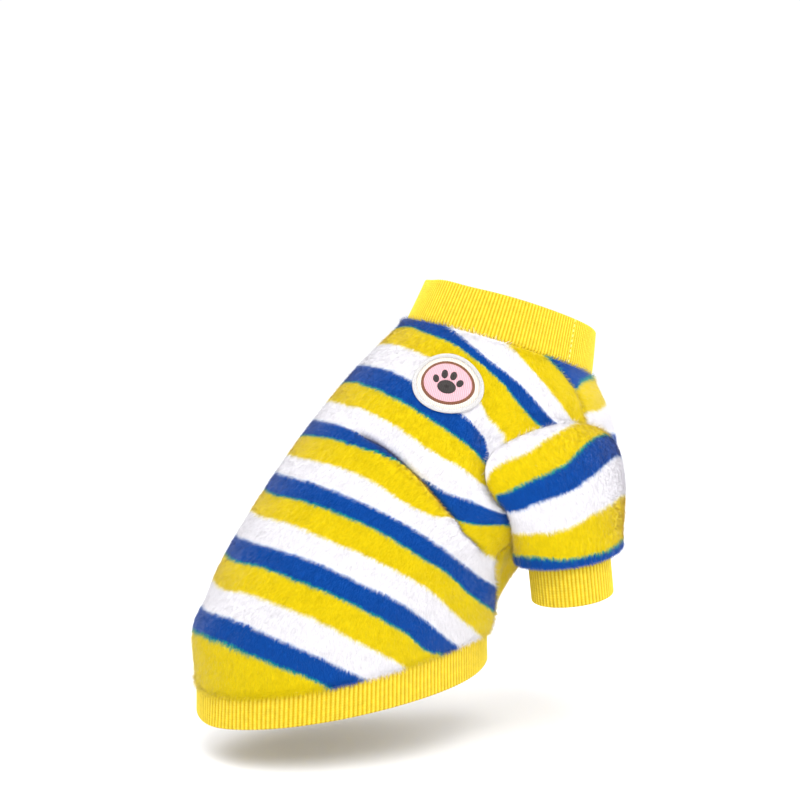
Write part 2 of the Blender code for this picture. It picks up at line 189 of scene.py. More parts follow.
def trunk_normal(angle, run):
    round_it, down_it = trunk_steps(angle, run)
    return unit(np.cross(down_it, round_it))


def fold_lift(angle, run):
    """How far the soft folds move the cloth out, in metres, or in where it is below zero."""
    lift = np.zeros(np.broadcast(angle, run).shape)
    for start_angle, start_run, end_angle, end_run, bow, half_width, depth, roll in SOFT_FOLDS:
        from_start = (angle - start_angle + 180) % 360 - 180
        across = np.radians(from_start) * ROUND_SCALE
        down = (run - start_run) * RUN_SCALE
        end_across = math.radians(end_angle - start_angle) * ROUND_SCALE
        end_down = (end_run - start_run) * RUN_SCALE
        length = math.hypot(end_across, end_down)
        share = (across * end_across + down * end_down) / length**2
        off = (down * end_across - across * end_down) / length - bow * 4 * share * (1 - share)
        fade = np.sin(np.pi * np.clip(share, 0, 1)) ** 0.7
        lift -= fade * depth * bell(off, half_width)
        lift += fade * roll * bell(off - 2 * half_width, 1.3 * half_width)
    return lift * MM


def tuck_place(angle, run):
    """Distance below the tuck in mm (below zero on its neck side), the tuck's strength and its slope there."""
    slope = (tuck_at(angle + 1) - tuck_at(angle - 1))[..., 0] / 2 * RUN_SCALE / DEGREE_SCALE
    off = (run - tuck_at(angle)[..., 0]) * RUN_SCALE / np.hypot(1, slope)
    strength = smooth_step((angle - TUCK_START) / TUCK_GROWTH) * smooth_step((TUCK_END - angle) / TUCK_FADE)
    return off, strength, slope


def drawn_to_tuck(angle, run):
    """The same places, drawn close together at the tuck so that its crease is sharp."""
    off, strength, slope = tuck_place(angle, run)
    shift = -DRAWN_SHARE * strength * off * bell(off, DRAWN_HALF_WIDTH)
    tilt = np.hypot(1, slope)
    return angle - shift * slope / tilt / DEGREE_SCALE, run + shift / tilt / RUN_SCALE


def worn_trunk(angle, run):
    """Outside of the worn cloth with its folds and the tuck, and its outward normal."""
    point = bare_trunk(angle, run)
    normal = trunk_normal(angle, run)
    off, strength, slope = tuck_place(angle, run)
    lift = fold_lift(angle, run)
    lift = lift - strength * TUCK_DEPTH * bell(off, TUCK_HALF_WIDTH)
    lift = lift + strength * ROLL_HEIGHT * bell(off - ROLL_PLACE, ROLL_HALF_WIDTH)
    lift = lift - strength * DIP_DEPTH * bell(off - DIP_PLACE, DIP_HALF_WIDTH)
    round_it, down_it = trunk_steps(angle, run)
    uphill = -unit(unit(down_it) - unit(round_it) * slope[..., None])
    slide = strength * OVERLAP * bell(off - OVERLAP_PLACE, OVERLAP_HALF_WIDTH)
    return point + normal * lift[..., None] + uphill * slide[..., None], normal


# The seam allowance under the sleeve's cap lifts the cloth on both sides of the seam
CAP_RISE = 1.5 * MM
CAP_REACH = 5.0 * MM


def cap_rise(run, to_side):
    above = np.maximum(0, ARMHOLE_TOP_RUN - run) * RUN_SCALE * MM
    high = np.clip((ARMHOLE_FOOT_RUN - run) / (ARMHOLE_FOOT_RUN - ARMHOLE_TOP_RUN), 0, 1)
    return CAP_RISE * high * bell(np.hypot(above, to_side), CAP_REACH)


def armhole_share(run):
    return np.sqrt(np.clip(1 - ((run - ARMHOLE_MIDDLE_RUN) / ARMHOLE_HALF_RUN) ** 2, 0, 1))


# Rows of the mesh above, beside and below the armhole, and how far those beside it crowd to its ends
ROWS_ABOVE = 33
ROWS_BESIDE = 61
ROWS_BELOW = 87
CROWDED = 0.55


def panel_places(core_half_angle, core_columns, side_columns, middle, edge_at):
    """Grid of angles and runs over a panel: only its side columns follow its edges."""
    even = np.linspace(-1, 1, ROWS_BESIDE)
    close = -np.cos(np.linspace(0, math.pi, ROWS_BESIDE))
    above = np.linspace(0, ARMHOLE_TOP_RUN, ROWS_ABOVE + 1)[:-1]
    beside = ARMHOLE_MIDDLE_RUN + (even * (1 - CROWDED) + close * CROWDED) * ARMHOLE_HALF_RUN
    runs = np.concatenate([above, beside, np.linspace(ARMHOLE_FOOT_RUN, 1, ROWS_BELOW + 1)[1:]])
    first, last = edge_at(runs)
    start_core = np.full_like(runs, middle + core_half_angle)
    end_core = np.full_like(runs, middle - core_half_angle)
    start_side = np.linspace(first, start_core, side_columns + 1, axis=1)
    between = np.linspace(start_core, end_core, core_columns + 1, axis=1)
    end_side = np.linspace(end_core, last, side_columns + 1, axis=1)
    angle = np.concatenate([start_side, between[:, 1:], end_side[:, 1:]], axis=1)
    return angle, np.repeat(runs[:, None], angle.shape[1], axis=1)


def back_edge(run):
    edge = seam_at(run)[..., 0] - ARMHOLE_HALF_ANGLE * armhole_share(run)
    return edge, -edge


NAP_LUMP = 5.5 * MM
NAP_GRAIN = 1.9 * MM
NAP_GRAIN_HEIGHT = 0.16 * MM


def nap_ripple(points, lump_height, lump_seed, grain_seed):
    """Unevenness of brushed cloth at the points: soft lumps, and a finer grain on them."""

    def ripple(size, height, seed):
        flat = points.reshape(-1, 3) / size + seed
        values = np.array([noise.noise(place) for place in flat.tolist()])
        return (values * height).reshape(points.shape[:-1])

    return ripple(NAP_LUMP, lump_height, lump_seed) + ripple(NAP_GRAIN, NAP_GRAIN_HEIGHT, grain_seed)


def add_object(name, data):
    added = bpy.data.objects.new(name, data)
    bpy.context.scene.collection.objects.link(added)
    return added


def add_piece(name, mesh, material):
    """A piece of the garment made of one material, on the garment's one body."""
    mesh.materials.append(material)
    piece = add_object(name, mesh)
    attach(piece, "root")
    return piece


def add_shell(name, outside, inside, wraps, layers, material, step=1):
    """Closed cloth between two grids of points, with the UV layers given as grids of pairs.

    The inside takes only every step-th row and column. The UV grids of a tube have one column more than
    its points, so that the last column closes it.
    """
    rows, columns = outside.shape[:2]
    width = columns + 1 if wraps else columns
    half = rows * width

    def quads(by):
        row = np.arange(0, rows - 1, by)[:, None]
        column = np.arange(0, width - 1, by)[None, :]
        corners = ((0, 0), (0, by), (by, by), (by, 0))
        return np.stack([(row + down) * width + column + right for down, right in corners], -1).reshape(-1, 4)

    def rim(start, by_place, count, flip):
        for first in range(0, count, step):
            edge = [start + (first + i) * by_place for i in range(step + 1)]
            face = [edge[-1] + half, edge[0] + half] if flip else [edge[0] + half, edge[-1] + half]
            yield (edge + face) if flip else (edge[::-1] + face)

    faces = quads(1).tolist() + (quads(step)[:, ::-1] + half).tolist()
    faces += list(rim(0, 1, width - 1, False)) + list(rim((rows - 1) * width, 1, width - 1, True))
    if not wraps:
        faces += list(rim(0, width, rows - 1, True)) + list(rim(width - 1, width, rows - 1, False))
    corners = np.concatenate([np.array(face) for face in faces])
    layer_of, place = np.divmod(corners, half)
    row_of, column_of = np.divmod(place, width)
    named = layer_of * rows * columns + row_of * columns + column_of % columns
    used, numbers = np.unique(named, return_inverse=True)
    points = np.concatenate([outside.reshape(-1, 3), inside.reshape(-1, 3)])[used]
    starts = np.cumsum([0] + [len(face) for face in faces])
    numbers = numbers.tolist()
    mesh = bpy.data.meshes.new(name)
    mesh.from_pydata(points.tolist(), [], [numbers[a:b] for a, b in zip(starts, starts[1:])])
    mesh.shade_smooth()
    for layer, pairs in layers.items():
        uv = pairs.reshape(-1, 2)[place]
        mesh.uv_layers.new(name=layer).data.foreach_set("uv", uv.astype(np.float32).reshape(-1))
    return add_piece(name, mesh, material)


PILE_LENGTH = 2.0 * MM
PILE_WIDTH = 0.22 * MM
PILE_LEAN = math.radians(68)
PILE_SUNK = 0.15 * MM
PILE_STRAY = 0.20
TUFT_SIZE = 1.6 * MM
TUFT_PULL = 0.3
# Within this reach of a seam the pile is ruffled: denser, longer and more astray by these shares
SEAM_RUFFLE = 2.2 * MM
RUFFLED_DENSER = 1.2
RUFFLED_LONGER = 0.6
RUFFLED_STRAY = 0.7


def add_pile(name, outside, wraps, layers, count, seed, seam, thinned=None):
    """Separate fibres of the pile, one sliver each, drawn together in tufts and combed down the grid's rows.

    seam is a grid of how near a seam is, from 0 to 1: there the pile is ruffled and longer, and hides it.
    thinned is a grid of shares by which the pile is thinner, such as where it is pressed in a crease.
    """
    rng = np.random.default_rng(seed)
    if wraps:
        outside = np.concatenate([outside, outside[:, :1]], axis=1)
    across = np.gradient(outside, axis=1)
    if wraps:
        across[:, 0] = across[:, -1] = outside[:, 1] - outside[:, -2]
    normal = unit(np.cross(across, np.gradient(outside, axis=0)))
    down = unit(np.gradient(outside, axis=0))
    rows, columns = outside.shape[:2]
    diagonals = outside[1:, 1:] - outside[:-1, :-1], outside[1:, :-1] - outside[:-1, 1:]
    area = np.linalg.norm(np.cross(*diagonals), axis=-1).reshape(-1)
    area = area * (1 + RUFFLED_DENSER * seam[1:, 1:].reshape(-1))
    if thinned is not None:
        area = area * (1 - thinned[1:, 1:].reshape(-1))
    cell = rng.choice(area.size, size=count, p=area / area.sum())
    row, column = np.divmod(cell, columns - 1)
    s, t = rng.random((2, count, 1))

    def between(grid):
        upper = grid[row, column] * (1 - t) + grid[row, column + 1] * t
        lower = grid[row + 1, column] * (1 - t) + grid[row + 1, column + 1] * t
        return upper * (1 - s) + lower * s

    root, up, comb = between(outside), unit(between(normal)), unit(between(down))
    sideways = np.cross(up, comb)
    uvs = {layer: between(pairs) for layer, pairs in layers.items()}
    # Each tuft has its middle at a chance place in its own square of the cloth
    tuft = np.floor(uvs["cloth"] / TUFT_SIZE)
    chance = np.sin(tuft @ np.array([[12.99, 39.35], [78.23, 11.14]])) * 43758.5
    chance -= np.floor(chance)
    to_tuft = (tuft + chance) * TUFT_SIZE - uvs["cloth"]
    ruffled = between(seam[..., None])
    length = PILE_LENGTH * (0.65 + 0.7 * rng.random((count, 1))) * (1 + RUFFLED_LONGER * ruffled)
    stray = rng.normal(size=(count, 3)) * (PILE_STRAY + RUFFLED_STRAY * ruffled)
    lean = PILE_LEAN + rng.normal(size=(count, 1)) * 0.16
    way = unit(up * np.cos(lean) + comb * np.sin(lean) + stray)
    tip = root + way * length + (comb * to_tuft[:, 1:] - sideways * to_tuft[:, :1]) * TUFT_PULL
    side = unit(np.cross(up, way) + up * rng.normal(size=(count, 1)) * 0.35) * PILE_WIDTH / 2
    foot = root - up * PILE_SUNK
    points = np.stack([foot + side, foot - side, tip], 1).reshape(-1, 3)
    mesh = bpy.data.meshes.new(name)
    mesh.vertices.add(3 * count)
    mesh.vertices.foreach_set("co", points.astype(np.float32).reshape(-1))
    mesh.loops.add(3 * count)
    mesh.loops.foreach_set("vertex_index", np.arange(3 * count, dtype=np.int32))
    mesh.polygons.add(count)
    mesh.polygons.foreach_set("loop_start", np.arange(0, 3 * count, 3, dtype=np.int32))
    mesh.update(calc_edges=True)
    mesh.shade_smooth()
    for layer, pairs in uvs.items():
        corners = np.repeat(pairs, 3, axis=0).astype(np.float32)
        mesh.uv_layers.new(name=layer).data.foreach_set("uv", corners.reshape(-1))
    shaded = unit(up + way * 0.25 + rng.normal(size=(count, 3)) * 0.24)
    mesh.normals_split_custom_set_from_vertices(np.repeat(shaded, 3, axis=0).tolist())
    return add_piece(name, mesh, PILE)


# Where each stripe of the back panel begins, as run at these angles from the spine, from neck to hem
STRIPE_ANGLES = (0, 20, 40, 60, 70, 80, 90, 100, 110, 122, 132, 145)
BACK_STRIPES = (
    ("blue", -0.170, -0.160, -0.140, -0.115, -0.100, -0.080, -0.060, -0.040, -0.015, 0.02, 0.045, 0.08),
    ("yellow", -0.125, -0.115, -0.092, -0.065, -0.045, -0.020, 0.006, 0.036, 0.080, 0.12, 0.150, 0.19),
    ("white", -0.070, -0.060, -0.038, -0.006, 0.014, 0.049, 0.091, 0.144, 0.200, 0.25, 0.290, 0.34),
    ("blue", -0.020, -0.006, 0.018, 0.063, 0.086, 0.119, 0.164, 0.215, 0.270, 0.32, 0.360, 0.41),
    ("yellow", 0.020, 0.029, 0.042, 0.084, 0.115, 0.165, 0.210, 0.255, 0.312, 0.36, 0.400, 0.45),
    ("white", 0.075, 0.082, 0.104, 0.160, 0.214, 0.262, 0.300, 0.340, 0.385, 0.42, 0.460, 0.50),
    ("blue", 0.147, 0.151, 0.178, 0.222, 0.257, 0.300, 0.350, 0.395, 0.435, 0.47, 0.510, 0.55),
    ("yellow", 0.193, 0.203, 0.228, 0.274, 0.306, 0.350, 0.395, 0.440, 0.480, 0.51, 0.550, 0.59),
    ("white", 0.249, 0.254, 0.281, 0.334, 0.358, 0.395, 0.430, 0.465, 0.495, 0.52, 0.560, 0.60),
    ("blue", 0.301, 0.306, 0.341, 0.402, 0.431, 0.451, 0.480, 0.500, 0.515, 0.53, 0.570, 0.61),
    ("yellow", 0.338, 0.338, 0.360, 0.418, 0.467, 0.515, 0.531, 0.533, 0.545, 0.56, 0.595, 0.64),
    ("white", 0.396, 0.398, 0.418, 0.476, 0.504, 0.528, 0.590, 0.637, 0.675, 0.72, 0.755, 0.80),
    ("blue", 0.448, 0.451, 0.476, 0.524, 0.558, 0.601, 0.648, 0.695, 0.740, 0.788, 0.825, 0.87),
    ("yellow", 0.498, 0.498, 0.520, 0.570, 0.608, 0.651, 0.692, 0.742, 0.795, 0.855, 0.900, 0.95),
    ("white", 0.556, 0.558, 0.589, 0.638, 0.671, 0.709, 0.752, 0.805, 0.870, 0.940, 0.99, 1.05),
    ("blue", 0.621, 0.628, 0.651, 0.704, 0.736, 0.773, 0.822, 0.885, 0.955, 1.02, 1.07, 1.12),
    ("yellow", 0.676, 0.676, 0.704, 0.752, 0.788, 0.832, 0.888, 0.965, 1.000, 1.07, 1.12, 1.18),
    ("white", 0.739, 0.739, 0.766, 0.822, 0.870, 0.924, 0.985, 1.040, 1.090, 1.14, 1.19, 1.25),
    ("blue", 0.795, 0.801, 0.840, 0.915, 0.968, 1.020, 1.070, 1.120, 1.160, 1.21, 1.26, 1.32),
    ("yellow", 0.847, 0.861, 0.908, 0.985, 1.040, 1.090, 1.140, 1.180, 1.220, 1.27, 1.32, 1.38),
    ("white", 1.040, 1.045, 1.050, 1.080, 1.120, 1.160, 1.200, 1.240, 1.280, 1.33, 1.38, 1.44),
)
# Rows of the stripes at the tuck, which hides part of the yellow and white on the right flank: a blue, those
# two, and the next blue. On the left flank, which has no tuck, they begin at these shares from blue to blue.
TUCKED_STRIPES = (9, 10, 11, 12)
UNTUCKED_STARTS = (0.30, 0.66)


def stripe_starts(stripes, places, at):
    """Where each stripe of a table begins at the given places, from the places of its columns."""
    table = np.array([stripe[1:] for stripe in stripes], float)
    return curve_through(np.column_stack([places, table.T]))(at)


def stripes_passed(starts, run):
    """Stripes passed so far at each run, growing by 1 through each stripe."""
    passed = np.clip((starts <= run[..., None]).sum(-1) - 1, 0, starts.shape[-1] - 2)
    before = np.take_along_axis(starts, passed[..., None], -1)[..., 0]
    after = np.take_along_axis(starts, passed[..., None] + 1, -1)[..., 0]
    return passed + (run - before) / (after - before)


def back_stripe_starts(angle):
    starts = stripe_starts(BACK_STRIPES, STRIPE_ANGLES, np.abs(angle))
    to_left = smooth_step((10 - angle) / 30)[..., None]
    blue, yellow, white, next_blue = TUCKED_STRIPES
    span = starts[..., next_blue : next_blue + 1] - starts[..., blue : blue + 1]
    untucked = starts[..., blue : blue + 1] + span * np.array(UNTUCKED_STARTS)
    starts[..., yellow : white + 1] += (untucked - starts[..., yellow : white + 1]) * to_left
    return starts


# Dyed plush: polyester pile, matt with a soft sheen at grazing angles where the fibre tips catch light.
# Typical values: IOR 1.5, roughness 0.9. Each colour is the dye as it shows in even light.
DYE = {"blue": "#004EAA", "yellow": "#EFD500", "white": "#FAF8FC"}
DYE_MIX = {"blue_to_yellow": "#12A08C", "yellow_to_white": "#F6EA96", "white_to_blue": "#8FB2DC"}
TUFT_MM = 1.1
NAP_MM = 0.45
DRIFT_MM = 6.25


def linear(hex_colour):
    """sRGB hex to a linear RGBA colour."""
    channels = [int(hex_colour[i : i + 2], 16) / 255 for i in (1, 3, 5)]
    return [c / 12.92 if c <= 0.04045 else ((c + 0.055) / 1.055) ** 2.4 for c in channels] + [1.0]


def add_node(tree, kind, links=(), **settings):
    """One node: its links as {input: socket or value}, and its settings as attributes."""
    node = tree.nodes.new(kind)
    for name, value in settings.items():
        setattr(node, name, value)
    for name, value in dict(links).items():
        if isinstance(value, bpy.types.NodeSocket):
            tree.links.new(value, node.inputs[name])
        else:
            node.inputs[name].default_value = value
    return node


def new_material(name):
    material = bpy.data.materials.new(name)
    material.use_nodes = True
    tree = material.node_tree
    return material, tree, tree.nodes["Principled BSDF"]


def plush_fleece(name, brushed, deep):
    """Striped plush: colour from the stripe count, with frayed stripe edges and brushed tufts.

    The stripes layer holds the stripe count in V, and in U a share of painted shade that darkens the colour along
    creases and seams.
    brushed is the strength of its bump, and deep the shade of its hollows.
    """
    material, tree, shader = new_material(name)
    stripes = add_node(tree, "ShaderNodeUVMap", uv_map="stripes").outputs["UV"]
    cloth = add_node(tree, "ShaderNodeUVMap", uv_map="cloth").outputs["UV"]
    combed = add_node(tree, "ShaderNodeMapping", {"Vector": cloth, "Scale": (1.0, 0.42, 1.0)}).outputs["Vector"]
    coarse = {"Vector": combed, "Scale": 1000 / TUFT_MM, "Detail": 4.0, "Roughness": 0.62, "Distortion": 0.35}
    tufts = add_node(tree, "ShaderNodeTexNoise", coarse, noise_dimensions="2D").outputs["Fac"]
    fine = {"Vector": combed, "Scale": 1000 / NAP_MM, "Detail": 3.0, "Roughness": 0.7, "Distortion": 0.8}
    fibres = add_node(tree, "ShaderNodeTexNoise", fine, noise_dimensions="2D").outputs["Fac"]
    slow = {"Vector": cloth, "Scale": 1000 / DRIFT_MM, "Detail": 2.0}
    drift = add_node(tree, "ShaderNodeTexNoise", slow, noise_dimensions="2D").outputs["Fac"]
    split = add_node(tree, "ShaderNodeSeparateXYZ", {"Vector": stripes})
    # Painted shade: the colour starts as 1 less the stripes layer's U, darker in creases and beside seams
    depth = add_node(tree, "ShaderNodeMath", {0: 1.0, 1: split.outputs["X"]}, operation="SUBTRACT").outputs[0]
    count = split.outputs["Y"]
    for fray, amount in ((fibres, 0.14), (tufts, 0.10), (drift, 0.10)):
        centred = add_node(tree, "ShaderNodeMath", {0: fray, 1: 0.5}, operation="SUBTRACT").outputs[0]
        scaled = add_node(tree, "ShaderNodeMath", {0: centred, 1: amount}, operation="MULTIPLY").outputs[0]
        count = add_node(tree, "ShaderNodeMath", {0: count, 1: scaled}, operation="ADD").outputs[0]
    third = add_node(tree, "ShaderNodeMath", {0: count, 1: 1 / 3}, operation="MULTIPLY").outputs[0]
    phase = add_node(tree, "ShaderNodeMath", {0: third}, operation="FRACT").outputs[0]
    ramp = add_node(tree, "ShaderNodeValToRGB", {"Fac": phase})
    stops = (
        (0.012, DYE["blue"]),
        (0.306, DYE["blue"]),
        (0.323, DYE_MIX["blue_to_yellow"]),
        (0.335, DYE_MIX["blue_to_yellow"]),
        (0.350, DYE["yellow"]),
        (0.652, DYE["yellow"]),
        (0.667, DYE_MIX["yellow_to_white"]),
        (0.682, DYE["white"]),
        (0.985, DYE["white"]),
        (1.000, DYE_MIX["white_to_blue"]),
    )
    ramp.color_ramp.elements[0].position = 0.0
    ramp.color_ramp.elements[0].color = linear(DYE_MIX["white_to_blue"])
    ramp.color_ramp.elements[1].position = 1.0
    ramp.color_ramp.elements[1].color = linear(stops[-1][1])
    for position, colour in stops[:-1]:
        ramp.color_ramp.elements.new(position).color = linear(colour)
    for grain, light in ((tufts, 1.03), (fibres, 1.04)):
        reach = {"Value": grain, "From Min": 0.3, "From Max": 0.7, "To Min": deep, "To Max": light}
        shade = add_node(tree, "ShaderNodeMapRange", reach).outputs["Result"]
        depth = add_node(tree, "ShaderNodeMath", {0: depth, 1: shade}, operation="MULTIPLY").outputs[0]
    colour = {0: ramp.outputs["Color"], 1: depth}
    dyed = add_node(tree, "ShaderNodeVectorMath", colour, operation="MULTIPLY").outputs["Vector"]
    tree.links.new(dyed, shader.inputs["Base Color"])
    height = add_node(tree, "ShaderNodeMath", {0: fibres, 1: 0.45}, operation="MULTIPLY").outputs[0]
    height = add_node(tree, "ShaderNodeMath", {0: tufts, 1: height}, operation="ADD").outputs[0]
    if brushed:
        bump = add_node(tree, "ShaderNodeBump", {"Height": height, "Strength": brushed, "Distance": 0.0009})
        tree.links.new(bump.outputs["Normal"], shader.inputs["Normal"])
    shader.inputs["Roughness"].default_value = 0.92
    shader.inputs["IOR"].default_value = 1.5
    shader.inputs["Specular IOR Level"].default_value = 0.18
    shader.inputs["Sheen Weight"].default_value = 0.30
    shader.inputs["Sheen Roughness"].default_value = 0.38
    return material


FLEECE = plush_fleece("dyed_plush_ground", brushed=0.7, deep=0.86)
PILE = plush_fleece("dyed_plush_pile", brushed=0.0, deep=0.93)

# Between the crease behind the right shoulder and the armhole the cloth is drawn up, its white stripe widest
DRAWN_UP_RUNS = (0.25, 0.38)
DRAWN_UP_SHARE = 0.65
CREASE_ANGLE, CREASE_RUN, CREASE_SLOPE = 65, 0.158, 64
# Painted shade: the colour is drawn darker along the tuck's crease and beside the lower half of the armhole, where
# shade falls
PAINTED_TUCK_SHADE, PAINTED_TUCK_SHADE_HALF_WIDTH = 0.85, 1.3
PAINTED_SEAM_SHADE, PAINTED_SEAM_SHADE_HALF_WIDTH = 0.6, 2.4 * MM


def trunk_panel(name, angle, run, starts_at):
    """One panel of the trunk as a closed cloth: brushed outside, plain inside, edges turned under.

    starts_at is a function from the grid of angles to where each stripe begins there.
    """
    outside, normal = worn_trunk(angle, run)
    start_gap = np.abs(angle - angle[:, :1])
    end_gap = np.abs(angle - angle[:, -1:])
    per_degree = np.linalg.norm(trunk_steps(angle, run)[0], axis=-1)
    to_side = np.minimum(start_gap, end_gap) * per_degree
    to_edge = np.minimum(to_side, np.minimum(run, 1 - run) * RUN_SCALE * MM)
    turned = np.clip(1 - to_edge / EDGE_TURN_WIDTH, 0, 1) ** 2
    lift = nap_ripple(outside, lump_height=0.28 * MM, lump_seed=3.0, grain_seed=11.0)
    rise = cap_rise(run, to_side)
    lift = lift * (1 - turned) - turned * EDGE_TURN_DEPTH * (1 - 0.9 * rise / CAP_RISE)
    outside = outside + normal * rise[..., None]
    inside = outside - normal * FLEECE_WALL
    outside = outside + normal * lift[..., None]
    across = np.radians(angle) * ROUND_SCALE * MM
    cloth = np.stack([across, run * RUN_SCALE * MM], -1)
    top, foot = DRAWN_UP_RUNS
    crease = CREASE_ANGLE + (run - CREASE_RUN) * CREASE_SLOPE
    drawn_up = smooth_step((angle - crease) / 1.4) * (angle < 90) * ((run > top) & (run < foot))
    count = stripes_passed(starts_at(angle), run - drawn_up * DRAWN_UP_SHARE * (run - top))
    off, strength, _ = tuck_place(angle, run)
    low = smooth_step((run - 0.30) / 0.14) * smooth_step((ARMHOLE_FOOT_RUN + 0.02 - run) / 0.03)
    # Painted shade along the tuck and the lower armhole seam, carried in the stripes layer's U
    painted_shade = PAINTED_TUCK_SHADE * strength * bell(off + 0.4, PAINTED_TUCK_SHADE_HALF_WIDTH, 4)
    painted_shade = painted_shade + PAINTED_SEAM_SHADE * low * bell(to_side, PAINTED_SEAM_SHADE_HALF_WIDTH)
    layers = {"cloth": cloth, "stripes": np.stack([painted_shade, count], -1)}
    piece = add_shell(name, outside, inside, False, layers, FLEECE, step=3)
    return piece, outside, layers, bell(to_edge, SEAM_RUFFLE)


back_angle, back_run = panel_places(
    core_half_angle=66, core_columns=120, side_columns=27, middle=0, edge_at=back_edge
)
back_angle, back_run = drawn_to_tuck(back_angle, back_run)
back_panel, back_outside, back_layers, back_seam = trunk_panel(
    "back_fleece", back_angle, back_run, back_stripe_starts
)
off_tuck, tuck_strength, _ = tuck_place(back_angle, back_run)
pressed = tuck_strength * bell(off_tuck + 0.6, 2.0, 4)
# The back's pile comes in two pieces, split at a column near the spine
FIBRES_PER_HALF_BACK = 185000
SPLIT_COLUMN = 90
for number, columns in enumerate((slice(0, SPLIT_COLUMN + 1), slice(SPLIT_COLUMN, None))):
    part = {layer: pairs[:, columns] for layer, pairs in back_layers.items()}
    half, seam, thinned = back_outside[:, columns], back_seam[:, columns], pressed[:, columns]
    name = f"back_pile_{number}"
    add_pile(name, half, False, part, FIBRES_PER_HALF_BACK, number, seam, thinned)
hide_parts("back_panel")

# Chest panel
# The narrower piece of the same fleece under the neck, chest and belly, sewn to the back panel along
# the shoulder and side seams. Its stripes run level round the chest and do not meet those of the back.

# Where each stripe begins, as run at these angles from the spine, from neck to hem
CHEST_STRIPE_ANGLES = (90, 105, 115, 125, 135, 150, 180)
CHEST_STRIPES = (
    ("blue", -0.100, -0.110, -0.120, -0.130, -0.140, -0.150, -0.160),
    ("yellow", 0.120, 0.100, 0.045, 0.024, 0.009, -0.004, -0.012),
    ("white", 0.200, 0.185, 0.140, 0.124, 0.105, 0.083, 0.075),
    ("blue", 0.280, 0.265, 0.215, 0.194, 0.195, 0.187, 0.170),
    ("yellow", 0.330, 0.315, 0.285, 0.270, 0.262, 0.250, 0.240),
    ("white", 0.440, 0.425, 0.395, 0.380, 0.368, 0.355, 0.345),
    ("blue", 0.530, 0.520, 0.495, 0.480, 0.468, 0.455, 0.440),
    ("yellow", 0.600, 0.595, 0.590, 0.595, 0.600, 0.605, 0.605),
    ("white", 0.700, 0.740, 0.800, 0.900, 0.940, 0.915, 0.880),
    ("blue", 0.790, 0.820, 0.880, 0.960, 1.005, 0.985, 0.955),
    ("yellow", 0.850, 0.880, 0.940, 1.010, 1.060, 1.050, 1.040),
    ("white", 0.950, 0.975, 1.030, 1.090, 1.120, 1.110, 1.100),
)


def chest_edge(run):
    edge = seam_at(run)[..., 0] + ARMHOLE_HALF_ANGLE * armhole_share(run)
    return 360 - edge, edge


def chest_stripe_starts(angle):
    return stripe_starts(CHEST_STRIPES, CHEST_STRIPE_ANGLES, 180 - np.abs(angle - 180))


FIBRES_ON_CHEST = 110000
chest_angle, chest_run = panel_places(
    core_half_angle=28, core_columns=48, side_columns=24, middle=180, edge_at=chest_edge
)
chest_panel, chest_outside, chest_layers, chest_seam = trunk_panel(
    "chest_fleece", chest_angle, chest_run, chest_stripe_starts
)
chest_pile = add_pile("chest_pile", chest_outside, False, chest_layers, FIBRES_ON_CHEST, 2, chest_seam)
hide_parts("chest_panel")

# Sleeves
# Short tubes of the same fleece, each cut as one piece with a rounded cap, closed by a seam along its
# underside and set into the armhole. The foot is gathered into the narrower cuff and bulges over it.

SLEEVE_FOOT = np.array([-61, -54, -118]) * MM
SLEEVE_LIFT = 2.6 * MM
SLEEVE_FOOT_FORE_AFT = 30 * MM
SLEEVE_FOOT_SIDE = 23 * MM
SLEEVE_LEAN = math.radians(7.0)
SLEEVE_OVERHANG = 2.0 * MM
# How far the sleeve heads out of the armhole, down at its top and inward underneath, and how stiffly
ARM_OUT = 0.80
ARM_DOWN = 0.60
ARM_IN = 0.50
ARM_PULL_TOP = 43 * MM
ARM_PULL_UNDER = 28 * MM
ARM_CLEAR = 1.2 * MM
ARM_SWING = 0.3
ARM_SKEW = math.radians(30)
ARM_WAY = 0.6
CUFF_FORE_AFT = 22.0 * MM
CUFF_SIDE = 20.5 * MM
SLEEVE_COLUMNS = 216
SLEEVE_ROWS = 71

DOWN_ARM = np.array([0, -math.sin(SLEEVE_LEAN), -math.cos(SLEEVE_LEAN)])
FORE_ARM = np.array([0, -math.cos(SLEEVE_LEAN), math.sin(SLEEVE_LEAN)])
OUT_ARM = np.array([-1.0, 0, 0])


def arm_oval(turn, fore_aft, side, drop):
    """Points on an oval round the right arm, and their inward directions. Turn 0 is outward."""
    cos = np.cos(turn)[..., None]
    sin = np.sin(turn)[..., None]
    point = SLEEVE_FOOT + OUT_ARM * side * cos + FORE_ARM * fore_aft * sin + DOWN_ARM * np.asarray(drop)[..., None]
    return point, -unit(OUT_ARM * cos / side + FORE_ARM * sin / fore_aft)


def armhole_place(turn):
    run = ARMHOLE_MIDDLE_RUN - ARMHOLE_HALF_RUN * np.cos(turn)
    return seam_at(run)[..., 0] + ARMHOLE_HALF_ANGLE * np.sin(turn), run


